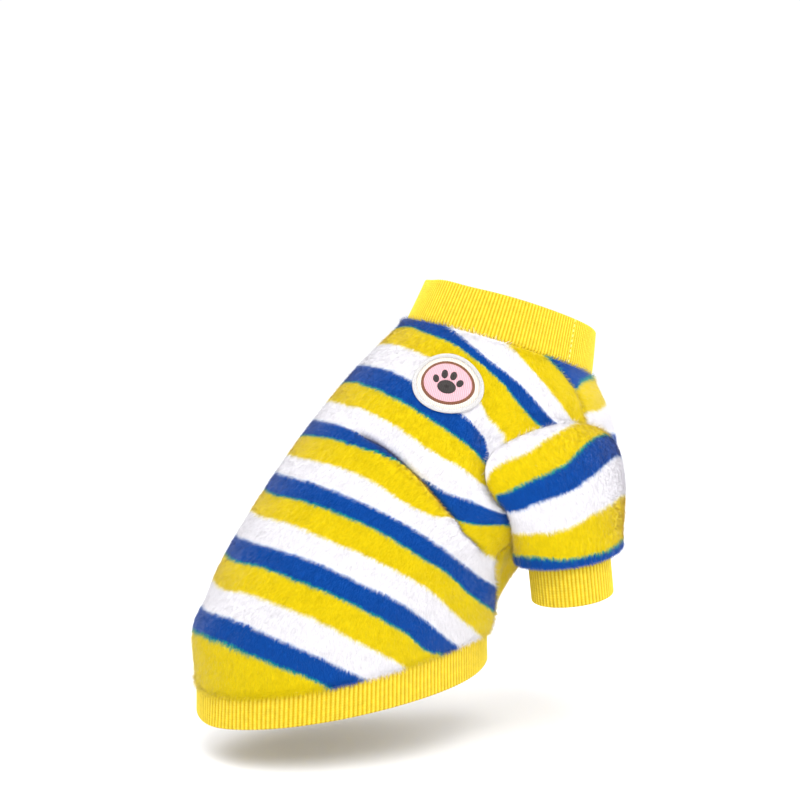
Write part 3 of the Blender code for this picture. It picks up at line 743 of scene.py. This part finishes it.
def kept_clear(point, turn, share):
    """The sleeve's points, moved off the trunk where they lie along it."""
    angle, run = armhole_place(turn)
    angle = angle + np.zeros(point.shape[:-1])
    run = run + np.zeros(point.shape[:-1])
    for _ in range(8):
        round_it, down_it = trunk_steps(angle, run)
        offset = point - bare_trunk(angle, run)
        rr = (round_it * round_it).sum(-1)
        dd = (down_it * down_it).sum(-1)
        rd = (round_it * down_it).sum(-1)
        ro = (round_it * offset).sum(-1)
        do = (down_it * offset).sum(-1)
        lean = rr * dd - rd * rd
        angle = angle + np.clip((ro * dd - do * rd) / lean, -15, 15)
        run = np.clip(run + (do * rr - ro * rd) / lean, 0, 1)
    normal = trunk_normal(angle, run)
    height = ((point - bare_trunk(angle, run)) * normal).sum(-1) - np.maximum(0, fold_lift(angle, run))
    least = ARM_CLEAR * np.minimum(1, 3 * share)
    lack = least - height
    push = (lack + np.hypot(lack, least / 2)) / 2
    push = np.where(push < least / 20, 0, push)
    way = unit(normal - DOWN_ARM * (normal @ DOWN_ARM)[..., None] * share[..., None])
    return point + way * (push / (way * normal).sum(-1))[..., None]


def sleeve_start(turn):
    """The sleeve's edge in the armhole, the trunk's normal there and the way across the armhole."""
    angle, run = armhole_place(turn)
    lift = fold_lift(angle, run) + cap_rise(run, 0)
    edge = bare_trunk(angle, run) + trunk_normal(angle, run) * lift[..., None]
    across = unit(bare_trunk(*armhole_place(turn + math.pi)) - edge)
    return edge, trunk_normal(*armhole_place(turn)), across


def sleeve_outside(turn, share):
    start, normal, across = sleeve_start(turn)
    skewed = turn - ARM_SKEW * np.sin(turn)
    foot = arm_oval(skewed, SLEEVE_FOOT_FORE_AFT, SLEEVE_FOOT_SIDE, 0 * turn - SLEEVE_LIFT)[0]
    high = ((1 + np.cos(turn)) / 2)[..., None]
    pull = ARM_PULL_UNDER + (ARM_PULL_TOP - ARM_PULL_UNDER) * high
    leave = unit(normal * ARM_OUT + DOWN_ARM * ARM_DOWN * high + across * ARM_IN * (1 - high)) * pull
    u = share[..., None]
    point = (2 * u**3 - 3 * u**2 + 1) * start + (u**3 - 2 * u**2 + u) * leave
    point = point + (3 * u**2 - 2 * u**3) * foot + (u**3 - u**2) * DOWN_ARM * pull
    return kept_clear(point, turn, share)


# Where each stripe of the sleeve begins, as a share of its length, by turn round it (0 outward, 90 forward)
SLEEVE_TURNS = (-180, -150, -120, -105, -90, -60, -30, 0, 30, 60, 90, 120, 150, 180)
SLEEVE_STRIPES = (
    ("blue", -0.80, -0.76, -0.66, -0.56, -0.48, -0.42, -0.48, -0.62, -0.76, -0.85, -0.88, -0.88, -0.85, -0.80),
    ("white", -0.55, -0.51, -0.42, -0.30, -0.20, -0.12, -0.20, -0.36, -0.50, -0.58, -0.62, -0.62, -0.59, -0.55),
    ("yellow", -0.27, -0.22, -0.13, 0.00, 0.10, 0.190, 0.100, -0.05, -0.19, -0.28, -0.32, -0.32, -0.30, -0.27),
    ("blue", -0.06, -0.02, 0.08, 0.240, 0.335, 0.375, 0.335, 0.170, 0.020, -0.08, -0.12, -0.12, -0.09, -0.06),
    ("white", 0.14, 0.21, 0.350, 0.435, 0.490, 0.510, 0.500, 0.405, 0.245, 0.10, 0.04, 0.03, 0.07, 0.14),
    ("yellow", 0.43, 0.52, 0.610, 0.640, 0.670, 0.715, 0.700, 0.650, 0.590, 0.465, 0.370, 0.310, 0.34, 0.43),
    ("blue", 0.87, 0.86, 0.86, 0.870, 0.880, 0.930, 0.940, 0.940, 0.945, 0.920, 0.900, 0.890, 0.88, 0.87),
    ("white", 1.16, 1.16, 1.16, 1.16, 1.16, 1.16, 1.16, 1.16, 1.16, 1.16, 1.16, 1.16, 1.16, 1.16),
    ("yellow", 1.44, 1.44, 1.44, 1.44, 1.44, 1.44, 1.44, 1.44, 1.44, 1.44, 1.44, 1.44, 1.44, 1.44),
)
SLEEVE_FIRST_COUNT = 13
SLEEVE_LENGTH = 62 * MM
SLEEVE_ROUND = 24 * MM
PUCKER_COUNT = 23
PUCKER_DEPTH = 0.25 * MM
PUCKER_START = 0.78
FIBRES_ON_SLEEVE = 75000


def sleeve_grids():
    """Outside, inside and the UV grids of the right sleeve, down from the armhole to the gathered foot."""
    turn = -np.arange(SLEEVE_COLUMNS)[None, :] * 2 * math.pi / SLEEVE_COLUMNS
    share = np.linspace(0, 1, SLEEVE_ROWS + 1)[:, None] ** 1.08
    outside = sleeve_outside(turn, share)
    above = sleeve_outside(turn, share - 0.02)
    start, normal, across = sleeve_start(turn)
    skewed = turn - ARM_SKEW * np.sin(turn)
    oval_inward = arm_oval(skewed, SLEEVE_FOOT_FORE_AFT, SLEEVE_FOOT_SIDE, 0 * turn)[1]
    swing = smooth_step(share / ARM_SWING)[..., None]
    way = unit(-normal * (1 - swing) + across * 3 * swing * (1 - swing) + oval_inward * swing)
    square = unit(np.cross(outside - above, np.roll(outside, -1, axis=1) - np.roll(outside, 1, axis=1)))
    square = square * np.sign((square * way).sum(-1, keepdims=True))
    inward = unit(square + way * ARM_WAY)
    inside = outside + (inward - DOWN_ARM * (share**6)[..., None]) * FLEECE_WALL
    turned = (np.clip(1 - share * SLEEVE_LENGTH / EDGE_TURN_WIDTH, 0, 1) ** 2)[..., None]
    lift = nap_ripple(outside, lump_height=0.30 * MM, lump_seed=7.0, grain_seed=17.0)
    gathered = PUCKER_DEPTH * smooth_step((share - PUCKER_START) / (1 - PUCKER_START))
    pucker = np.cos(PUCKER_COUNT * turn + 2.5 * np.sin(3 * turn)) * gathered
    sunk = EDGE_TURN_DEPTH * (1 - 0.9 * (1 + np.cos(turn)) / 2)[..., None]
    lift = (lift + pucker)[..., None] * (1 - turned) - turned * sunk
    outside = outside - inward * lift
    # The gathered end curls in to the cuff, outside and inside
    cuff_top = arm_oval(skewed, CUFF_FORE_AFT, CUFF_SIDE, 0 * turn - SLEEVE_LIFT)[0][0]
    curl = np.linspace(0, 1, 8)[1:, None, None]
    drop = DOWN_ARM * SLEEVE_OVERHANG
    last = outside[-1]
    curled = last + (cuff_top - last) * (1 - np.cos(curl * math.pi / 2))
    curled = curled + drop * np.sin(curl * math.pi) * 0.5 + drop * curl
    outside = np.concatenate([outside, curled])
    last = inside[-1]
    inside = np.concatenate([inside, last + (cuff_top + drop - DOWN_ARM * FLEECE_WALL - last) * curl])
    turn = np.concatenate([turn, turn[:, :1] - 2 * math.pi], axis=1)
    share = np.concatenate([share, 1 + curl[:, 0] * 0.09])
    degrees = np.degrees(turn) + 0 * share
    starts = stripe_starts(SLEEVE_STRIPES, SLEEVE_TURNS, (degrees + 180) % 360 - 180)
    # Down the sleeve the colours come as blue, white, yellow, the other way round from the back panel
    count = SLEEVE_FIRST_COUNT - stripes_passed(starts, share + 0 * turn)
    down = share * SLEEVE_LENGTH
    cloth = np.stack([np.radians(degrees) * SLEEVE_ROUND, down + 0 * turn], -1)
    # Painted shade: the colour is drawn darker on the sleeve's side towards the trunk, next to the armhole seam
    painted_shade = PAINTED_SEAM_SHADE * smooth_step(-0.4 - np.cos(turn)) * bell(down, PAINTED_SEAM_SHADE_HALF_WIDTH)
    return outside, inside, cloth, np.stack([painted_shade, count], -1)


def mirrored(grid):
    """The same grid for the left sleeve, with its columns turned round so that it still faces out."""
    return grid[:, ::-1] * np.array([-1, 1, 1]) if grid.shape[-1] == 3 else grid[:, ::-1]


sleeve_outer, sleeve_inner, sleeve_cloth, sleeve_count = sleeve_grids()
for number, side in enumerate(("right", "left")):
    grids = [sleeve_outer, sleeve_inner, sleeve_cloth, sleeve_count]
    if side == "left":
        grids = [mirrored(grid) for grid in grids]
    outer, inner, cloth, count = grids
    layers = {"cloth": cloth, "stripes": count}
    sleeve = add_shell(f"sleeve_fleece_{side}", outer, inner, True, layers, FLEECE, step=3)
    down = np.arange(outer.shape[0])[:, None] / SLEEVE_ROWS * SLEEVE_LENGTH
    seam = bell(down, SEAM_RUFFLE) + np.zeros(SLEEVE_COLUMNS + 1)
    sleeve_pile = add_pile(f"sleeve_pile_{side}", outer, True, layers, FIBRES_ON_SLEEVE, 3 + number, seam)
    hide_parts(f"sleeve_{side}")

# Ribbed bands
# Collar, hem band and cuffs are strips of 1 x 1 rib knit in yellow cotton, folded double lengthwise
# and sewn on stretched, so they draw the openings in. Each is a tube with a soft fold at its free edge.

RIB_PITCH = {"collar": 1.9 * MM, "hem": 2.3 * MM, "cuff": 2.1 * MM}
RIB_DEPTH = 0.55 * MM
RIB_INSET = 0.5 * MM
BAND_THICKNESS = 2.2 * MM
SEAM_GAP = 0.3 * MM
# The sewn edge is drawn in towards its seam, and the free edge waves a little
SEWN_IN = 1.0 * MM
SEWN_REACH = 2.4 * MM
EDGE_WAVE = 0.5 * MM
COLLAR_HEIGHT = 24 * MM
COLLAR_TAPER = 0.92
HEM_HEIGHT_BACK = 16.5 * MM
HEM_HEIGHT_CHEST = 22.0 * MM
HEM_TAPER = 0.985
HEM_LEAN_BACK = 0.10
HEM_LEAN_CHEST = -0.10
CUFF_HEIGHT = 19 * MM
STEPS_PER_RIB = 6


def ring_place(angle, run, taper, share):
    """Place of a band above a section of the trunk, and its inward way."""
    middle = (bare_trunk(0, run) + bare_trunk(180, run)) / 2
    inward = -trunk_normal(angle, run)
    foot = bare_trunk(angle, run) + inward * RIB_INSET
    return middle + (foot - middle) * (1 + (taper - 1) * share[..., None]), inward


def collar_ring(turn, share):
    point, inward = ring_place(np.degrees(turn), 0, COLLAR_TAPER, share)
    depth = bare_trunk(0, 0) - bare_trunk(180, 0)
    rise = SEAM_GAP + (COLLAR_HEIGHT - SEAM_GAP) * share
    return point + unit(np.array([0, -depth[2], depth[1]])) * rise[..., None], inward


def hem_ring(turn, share):
    point, inward = ring_place(np.degrees(turn), 1, HEM_TAPER, share)
    near = (1 + np.cos(turn)) / 2
    drop = (SEAM_GAP + (HEM_HEIGHT_BACK * near + HEM_HEIGHT_CHEST * (1 - near) - SEAM_GAP) * share)[..., None]
    lean = (HEM_LEAN_BACK * near + HEM_LEAN_CHEST * (1 - near))[..., None]
    return point + (np.array([0, 1, 0]) * lean - np.array([0, 0, 1])) * drop, inward


def cuff_ring(turn, share):
    drop = SLEEVE_OVERHANG + SEAM_GAP - SLEEVE_LIFT + (CUFF_HEIGHT + SLEEVE_LIFT) * share
    return arm_oval(turn + 0 * share, CUFF_FORE_AFT - RIB_INSET, CUFF_SIDE - RIB_INSET, drop)


# Painted shade and light: the one yarn is drawn a deeper yellow in the grooves between the ribs and paler on the
# crests
RIB_YELLOW_SHADED_AND_LIT = {"shaded_groove": "#CCA400", "crest": "#E6CF3C"}
STITCH_MM = 1.2
STITCH_LEAN = 2.4
LINT_PER_MM = 2.6
BLOTCH_MM = 3.125


def rib_knit():
    """Cotton rib knit: matt, its stitches stacked down each rib, with painted shade in the grooves between the
    ribs and painted light on their crests.

    The cloth layer counts ribs in U, and its V goes down the band in metres.
    Typical values: IOR 1.5, roughness 0.9. The lint is drawn as coarse as it needs to show.
    """
    material, tree, shader = new_material("cotton_rib_knit")
    cloth = add_node(tree, "ShaderNodeUVMap", uv_map="cloth").outputs["UV"]
    split = add_node(tree, "ShaderNodeSeparateXYZ", {"Vector": cloth})
    one_rib = {"Vector": cloth, "Scale": (2 * MM, 1.0, 1.0)}
    spread = add_node(tree, "ShaderNodeMapping", one_rib).outputs["Vector"]
    rib = {0: split.outputs["X"], 1: 2 * math.pi}
    turn = add_node(tree, "ShaderNodeMath", rib, operation="MULTIPLY").outputs[0]
    crest = add_node(tree, "ShaderNodeMath", {0: turn}, operation="COSINE").outputs[0]
    slant = add_node(tree, "ShaderNodeMath", {0: crest}, operation="ABSOLUTE").outputs[0]
    row = {0: split.outputs["Y"], 1: 2000 * math.pi / STITCH_MM}
    down = add_node(tree, "ShaderNodeMath", row, operation="MULTIPLY").outputs[0]
    leaned = add_node(tree, "ShaderNodeMath", {0: slant, 1: STITCH_LEAN}, operation="MULTIPLY").outputs[0]
    down = add_node(tree, "ShaderNodeMath", {0: down, 1: leaned}, operation="ADD").outputs[0]
    stitch = add_node(tree, "ShaderNodeMath", {0: down}, operation="SINE").outputs[0]
    speck = {"Vector": spread, "Scale": 1000 * LINT_PER_MM, "Detail": 3.0, "Roughness": 0.7}
    lint = add_node(tree, "ShaderNodeTexNoise", speck, noise_dimensions="2D").outputs["Fac"]
    patch = {"Vector": spread, "Scale": 1000 / BLOTCH_MM, "Detail": 2.0}
    blotch = add_node(tree, "ShaderNodeTexNoise", patch, noise_dimensions="2D").outputs["Fac"]
    height = add_node(tree, "ShaderNodeMapRange", {"Value": crest, "From Min": -1.0, "From Max": 1.0})
    ramp = add_node(tree, "ShaderNodeValToRGB", {"Fac": height.outputs["Result"]})
    ramp.color_ramp.elements[0].color = linear(RIB_YELLOW_SHADED_AND_LIT["shaded_groove"])
    ramp.color_ramp.elements[1].color = linear(RIB_YELLOW_SHADED_AND_LIT["crest"])
    ramp.color_ramp.elements[1].position = 0.8
    dyed = ramp.outputs["Color"]
    for grain, low in ((lint, 0.86), (blotch, 0.92)):
        reach = {"Value": grain, "From Min": 0.3, "From Max": 0.7, "To Min": low, "To Max": 1.05}
        shade = add_node(tree, "ShaderNodeMapRange", reach).outputs["Result"]
        dyed = add_node(tree, "ShaderNodeVectorMath", {0: dyed, 1: shade}, operation="MULTIPLY").outputs["Vector"]
    tree.links.new(dyed, shader.inputs["Base Color"])
    bump = add_node(tree, "ShaderNodeBump", {"Height": stitch, "Strength": 0.35, "Distance": 0.00025})
    tree.links.new(bump.outputs["Normal"], shader.inputs["Normal"])
    shader.inputs["Roughness"].default_value = 0.88
    shader.inputs["IOR"].default_value = 1.5
    shader.inputs["Specular IOR Level"].default_value = 0.2
    shader.inputs["Sheen Weight"].default_value = 0.08
    shader.inputs["Sheen Roughness"].default_value = 0.5
    return material


RIB = rib_knit()


def ribbed_band(name, ring, height, pitch, facing=-1, wave=EDGE_WAVE):
    """Folded rib-knit tube: ring gives its outside and inward way at each turn and share of its height.

    facing is 1 for a band that stands up from its seam, and -1 for one that hangs down.
    """
    around = ring(np.linspace(0, 2 * math.pi, 361)[None, :], np.zeros((1, 1)))[0][0]
    length = np.linalg.norm(np.diff(around, axis=0), axis=-1)
    length = np.concatenate([[0], np.cumsum(length)])
    ribs = round(length[-1] / pitch)
    columns = ribs * STEPS_PER_RIB
    along = np.linspace(0, length[-1], columns + 1)
    turn = facing * np.interp(along, length, np.linspace(0, 2 * math.pi, 361))
    fold = BAND_THICKNESS / 2
    shares = np.concatenate([[0, 0.04, 0.09, 0.15], np.linspace(0.4, 1 - fold / height, 4)])
    round_fold = np.linspace(0, 1, 6)[1:]
    down = np.concatenate([shares, 1 - fold / height * (1 - np.sin(round_fold * math.pi / 2))])
    tuck = np.concatenate([0 * shares, fold * (1 - np.cos(round_fold * math.pi / 2))])[:, None]
    point, inward = ring(turn[None, :-1], down[:, None])
    phase = np.arange(columns)[None, :] * 2 * math.pi / STEPS_PER_RIB
    relief = RIB_DEPTH * (0.5 - 0.5 * np.cos(phase))
    sewn = SEWN_IN * np.clip(1 - down[:, None] * height / SEWN_REACH, 0, 1) ** 2
    soft = wave * np.sin(5 * turn[None, :-1] + 2.0 * np.sin(2 * turn[None, :-1])) * down[:, None] ** 2
    outside = point + inward * (relief + tuck + sewn - soft)[..., None]
    inside = point + inward * (BAND_THICKNESS - tuck * 0.98 - soft)[..., None]
    rib = np.arange(columns + 1)[None, :] / STEPS_PER_RIB + 0 * down[:, None]
    cloth = np.stack([rib, down[:, None] * height + 0 * rib], -1)
    return add_shell(name, outside, inside, True, {"cloth": cloth}, RIB)


collar = ribbed_band("collar_rib", collar_ring, COLLAR_HEIGHT, RIB_PITCH["collar"], facing=1)
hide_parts("collar")

# The collar's join: a line of pale lockstitches down the band, just in front of the right shoulder
JOIN_ANGLE = 106.0
STITCH_PITCH = 2.5 * MM
STITCH_HALF_LENGTH = 0.85 * MM
STITCH_HALF_WIDTH = 0.34 * MM
STITCH_SUNK = 0.1 * MM


def tube_faces(rows, columns, closed=False):
    """Quads between rows of points round a tube. A closed one joins its last row to its first."""
    row, column = np.meshgrid(np.arange(rows if closed else rows - 1), np.arange(columns), indexing="ij")
    next_row, next_column = (row + 1) % rows, (column + 1) % columns
    corners = ((row, column), (row, next_column), (next_row, next_column), (next_row, column))
    return np.stack([r * columns + c for r, c in corners], -1).reshape(-1, 4)


def stitch_row(name, ring, angle, height, material):
    """A row of stitches down a band: each a small grain of thread, half sunk in the cloth."""
    count = int(height / STITCH_PITCH)
    share = ((np.arange(count) + 0.6) / count)[:, None]
    turn = np.full_like(share, math.radians(angle))
    middle, inward = ring(turn, share)
    down = unit(ring(turn, share + 0.01)[0] - middle)
    side = np.cross(inward, down)
    around = np.linspace(0, 2 * math.pi, 9)[:-1]
    along = np.linspace(0, math.pi, 7)
    grain = [
        down * STITCH_HALF_LENGTH * math.cos(a)
        + (side * math.cos(b) - inward * math.sin(b)) * STITCH_HALF_WIDTH * math.sin(a)
        for a in along
        for b in around
    ]
    points = (middle + inward * STITCH_SUNK)[:, 0, None] + np.stack(grain, 2)[:, 0]
    faces = np.arange(count)[:, None, None] * len(grain) + tube_faces(len(along), len(around))
    mesh = bpy.data.meshes.new(name)
    mesh.from_pydata(points.reshape(-1, 3).tolist(), [], faces.reshape(-1, 4).tolist())
    mesh.shade_smooth()
    add_piece(name, mesh, material)


JOIN_THREAD, _, join_shader = new_material("polyester_thread")
join_shader.inputs["Base Color"].default_value = linear("#F2E684")
join_shader.inputs["Roughness"].default_value = 0.55
stitch_row("collar_join_stitches", collar_ring, JOIN_ANGLE, COLLAR_HEIGHT, JOIN_THREAD)

hem_band = ribbed_band("hem_rib", hem_ring, HEM_HEIGHT_BACK, RIB_PITCH["hem"])
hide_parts("hem_band")

for side in ("right", "left"):
    cuff = ribbed_band(f"cuff_rib_{side}", cuff_ring, CUFF_HEIGHT, RIB_PITCH["cuff"], wave=0.0)
    if side == "left":
        cuff.data.transform(((-1, 0, 0, 0), (0, 1, 0, 0), (0, 0, 1, 0), (0, 0, 0, 1)))
        cuff.data.flip_normals()
    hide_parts(f"cuff_{side}")

# Patch
# A woven badge of twill with a thick overcast border of white thread, sewn to the right shoulder.
# Its paw print and the band round it are satin stitch, raised a little above the twill.

PATCH_ANGLE = 47.0
PATCH_RUN = 0.150
PATCH_HALF_WIDTH = 18 * MM
PATCH_HALF_HEIGHT = 16 * MM
PATCH_LIFT = 0.4 * MM
BORDER_WIDTH = 2.4 * MM


def patch_point(u, v, lift):
    """A point on the patch: u down the flank and v towards the collar from its middle, in metres."""
    round_it, down_it = trunk_steps(np.array(PATCH_ANGLE), np.array(PATCH_RUN))
    across_way = unit(round_it)
    up_way = -unit(np.cross(across_way, np.cross(down_it, across_way)))
    offset = across_way * u[..., None] + up_way * v[..., None]
    basis = np.linalg.pinv(np.array([round_it, down_it]).T)
    span = offset @ basis.T
    point, normal = worn_trunk(PATCH_ANGLE + span[..., 0], PATCH_RUN + span[..., 1])
    return point + normal * lift[..., None]


def twill(name, hex_colour, thread_mm):
    """Cotton or rayon thread, laid side by side with a shadow between: typical roughness 0.6, IOR 1.5."""
    material, tree, shader = new_material(name)
    cloth = add_node(tree, "ShaderNodeUVMap", uv_map="cloth").outputs["UV"]
    split = add_node(tree, "ShaderNodeSeparateXYZ", {"Vector": cloth})
    one_thread = {0: split.outputs["X"], 1: 2000 * math.pi / thread_mm}
    turn = add_node(tree, "ShaderNodeMath", one_thread, operation="MULTIPLY").outputs[0]
    thread = add_node(tree, "ShaderNodeMath", {0: turn}, operation="SINE").outputs[0]
    bump = add_node(tree, "ShaderNodeBump", {"Height": thread, "Strength": 0.6, "Distance": 0.00025})
    tree.links.new(bump.outputs["Normal"], shader.inputs["Normal"])
    reach = {"Value": thread, "From Min": -1.0, "From Max": 1.0, "To Min": 0.72, "To Max": 1.05}
    shade = add_node(tree, "ShaderNodeMapRange", reach).outputs["Result"]
    colour = {0: linear(hex_colour)[:3], 1: shade}
    dyed = add_node(tree, "ShaderNodeVectorMath", colour, operation="MULTIPLY").outputs["Vector"]
    tree.links.new(dyed, shader.inputs["Base Color"])
    shader.inputs["Roughness"].default_value = 0.6
    shader.inputs["IOR"].default_value = 1.5
    return material


WHITE_THREAD = twill("white_rayon_thread", "#EFEDEC", 0.45)
CREAM_TWILL = twill("cream_twill", "#F0E6D8", 0.9)
PINK_THREAD = twill("pink_rayon_thread", "#ECB4BF", 0.9)
BROWN_THREAD = twill("brown_rayon_thread", "#7E4A2C", 0.9)
BLACK_THREAD = twill("black_rayon_thread", "#2A2220", 0.9)


def patch_area(name, outline, height, base, material, rings=5):
    """A raised area of stitches on the patch inside a closed outline of (u, v) points in mm."""
    outline = outline * MM
    middle = outline.mean(axis=0)
    shares = np.sin(np.linspace(0, 1, rings + 1) * math.pi / 2)
    u = middle[0] + (outline[None, :, 0] - middle[0]) * shares[::-1, None]
    v = middle[1] + (outline[None, :, 1] - middle[1]) * shares[::-1, None]
    rise = base + height * np.sqrt(np.clip(1 - shares[::-1] ** 2, 0, 1))[:, None] + 0 * u
    rise[0] = base - 0.1 * MM
    outside = patch_point(u, v, rise)
    inside = patch_point(u, v, base - 0.15 * MM + 0 * u)
    closed_u = np.concatenate([u, u[:, :1]], axis=1)
    closed_v = np.concatenate([v, v[:, :1]], axis=1)
    area = add_shell(name, outside, inside, True, {"cloth": np.stack([closed_u, closed_v], -1)}, material)
    return area


def oval(u, v, half_u, half_v, tilt=0.0, count=40):
    turn = -np.arange(count) * 2 * math.pi / count
    across = half_u * np.cos(turn)
    up = half_v * np.sin(turn)
    cos, sin = math.cos(math.radians(tilt)), math.sin(math.radians(tilt))
    return np.column_stack([u + across * cos - up * sin, v + across * sin + up * cos])


PATCH_BASE = PATCH_LIFT + 0.5 * MM
patch_ground = patch_area("patch_twill", oval(0, 0, 17.2, 15.2, count=96), 0.3 * MM, PATCH_BASE, CREAM_TWILL)
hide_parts("patch")
# The brown field shows as a ring round the pink one
for colour, half_u, half_v, lift, thread in (
    ("brown", 13.4, 11.6, 0.3 * MM, BROWN_THREAD),
    ("pink", 12.0, 10.2, 0.45 * MM, PINK_THREAD),
):
    field = oval(0, 0, half_u, half_v, count=96)
    patch_area(f"patch_{colour}_field", field, 0.15 * MM, PATCH_BASE + lift, thread)
paw_base = PATCH_BASE + 0.6 * MM
patch_area("patch_paw_pad", oval(0, -2.6, 4.6, 3.6), 0.5 * MM, paw_base, BLACK_THREAD)
for index, (u, v, half_u, half_v, tilt) in enumerate(
    ((-6.0, 0.6, 1.6, 2.2, 25), (-2.3, 3.9, 1.7, 2.5, 8), (2.3, 3.9, 1.7, 2.5, -8), (6.0, 0.6, 1.6, 2.2, -25))
):
    patch_area(f"patch_paw_toe_{index}", oval(u, v, half_u, half_v, tilt), 0.45 * MM, paw_base, BLACK_THREAD)


BORDER_TURNS = 180


def patch_border():
    """The overcast border: a round cord of thread laid over the patch's edge, with its turns side by side."""
    turns = np.linspace(0, 2 * math.pi, 3 * BORDER_TURNS + 1)[:-1]
    around = np.linspace(0, 2 * math.pi, 13)[:-1]
    half = BORDER_WIDTH / 2
    ribbed = half * (0.93 + 0.07 * np.cos(BORDER_TURNS * turns))[:, None]
    off = ribbed * np.cos(around)[None, :]
    up = ribbed * 0.62 * np.sin(around)[None, :]
    u = (PATCH_HALF_WIDTH - half + off) * np.cos(turns)[:, None]
    v = (PATCH_HALF_HEIGHT - half + off) * np.sin(turns)[:, None]
    points = patch_point(u, v, PATCH_LIFT + 0.75 * MM + up)
    faces = tube_faces(*points.shape[:2], closed=True)[:, [0, 3, 2, 1]]
    mesh = bpy.data.meshes.new("patch_border")
    mesh.from_pydata(points.reshape(-1, 3).tolist(), [], faces.tolist())
    mesh.shade_smooth()
    mesh.uv_layers.new(name="cloth")
    add_piece("patch_border", mesh, WHITE_THREAD)


patch_border()

# Studio
# A wide floor of matt white paper under the garment, a large soft light above the camera, weaker ones from
# the garment's front and its far side, and the camera on its right, a little behind and above the shoulder.

FLOOR_HEIGHT = -215 * MM
FLOOR_HALF = 40
corners = [(x * FLOOR_HALF, y * FLOOR_HALF, FLOOR_HEIGHT) for x, y in ((-1, -1), (1, -1), (1, 1), (-1, 1))]
floor_mesh = bpy.data.meshes.new("floor")
floor_mesh.from_pydata(corners, [], [(0, 1, 2, 3)])
floor = add_object("floor", floor_mesh)
paper, _, paper_shader = new_material("matt_white_paper")
paper_shader.inputs["Base Color"].default_value = linear("#F8F8FA")
paper_shader.inputs["Roughness"].default_value = 0.95
paper_shader.inputs["Specular IOR Level"].default_value = 0.1
floor_mesh.materials.append(paper)

LOOK_RIGHT = np.array([-0.5, -0.866, 0.0])
LOOK_UP = np.array([0.1056, -0.0610, 0.9925])
TO_CAMERA = np.array([-0.8596, 0.4963, 0.1219])
CAMERA_DISTANCE = 1.10
# The middle of the neck opening lies 100 pixels right of the picture's middle and 50 above it
PIXEL = 0.526 * MM
NECK_RIGHT = 100 * PIXEL
NECK_ABOVE = 50 * PIXEL
NECK_MIDDLE = np.array([0, -51, -18]) * MM


def look_along(item, place, direction):
    """Put a light or camera at a place with its back along a direction, level side to side."""
    item.location = Vector(place)
    item.rotation_euler = Vector(direction).to_track_quat("Z", "Y").to_euler()


camera = add_object("camera", bpy.data.cameras.new("camera"))
bpy.context.scene.camera = camera
# At this distance the lens shows 0.526 mm of the garment in each of the picture's 800 pixels
camera.data.sensor_width = 36
camera.data.lens = 94.1
aim = NECK_MIDDLE - LOOK_RIGHT * NECK_RIGHT - LOOK_UP * NECK_ABOVE
look_along(camera, aim + TO_CAMERA * CAMERA_DISTANCE, TO_CAMERA)


GARMENT_MIDDLE = np.array([0, 0, -0.1])


def area_light(name, place, size, watts, hex_colour):
    light = bpy.data.lights.new(name, "AREA")
    light.size = size
    light.energy = watts
    light.color = linear(hex_colour)[:3]
    look_along(add_object(name, light), place, np.array(place) - GARMENT_MIDDLE)


area_light("key", (-0.75, 0.35, 0.95), 0.9, 11.0, "#FFFEFB")
area_light("fill", (-0.65, -1.05, 0.35), 1.0, 5.0, "#FFFFFF")
area_light("rim", (0.7, 0.5, 0.9), 0.8, 5.0, "#FFFFFF")

# The sky is white and brightens upwards by a tenth, so that the lit floor and the sky meet with no line
bpy.context.scene.view_settings.view_transform = "Standard"
world = bpy.data.worlds.new("studio")
world.use_nodes = True
bpy.context.scene.world = world
sky = world.node_tree
direction = add_node(sky, "ShaderNodeTexCoord").outputs["Generated"]
height = add_node(sky, "ShaderNodeSeparateXYZ", {"Vector": direction}).outputs["Z"]
bright = add_node(sky, "ShaderNodeMapRange", {"Value": height, "To Min": 1.04, "To Max": 1.14}).outputs["Result"]
sky.nodes["Background"].inputs["Color"].default_value = linear("#FEFEFF")
sky.links.new(bright, sky.nodes["Background"].inputs["Strength"])
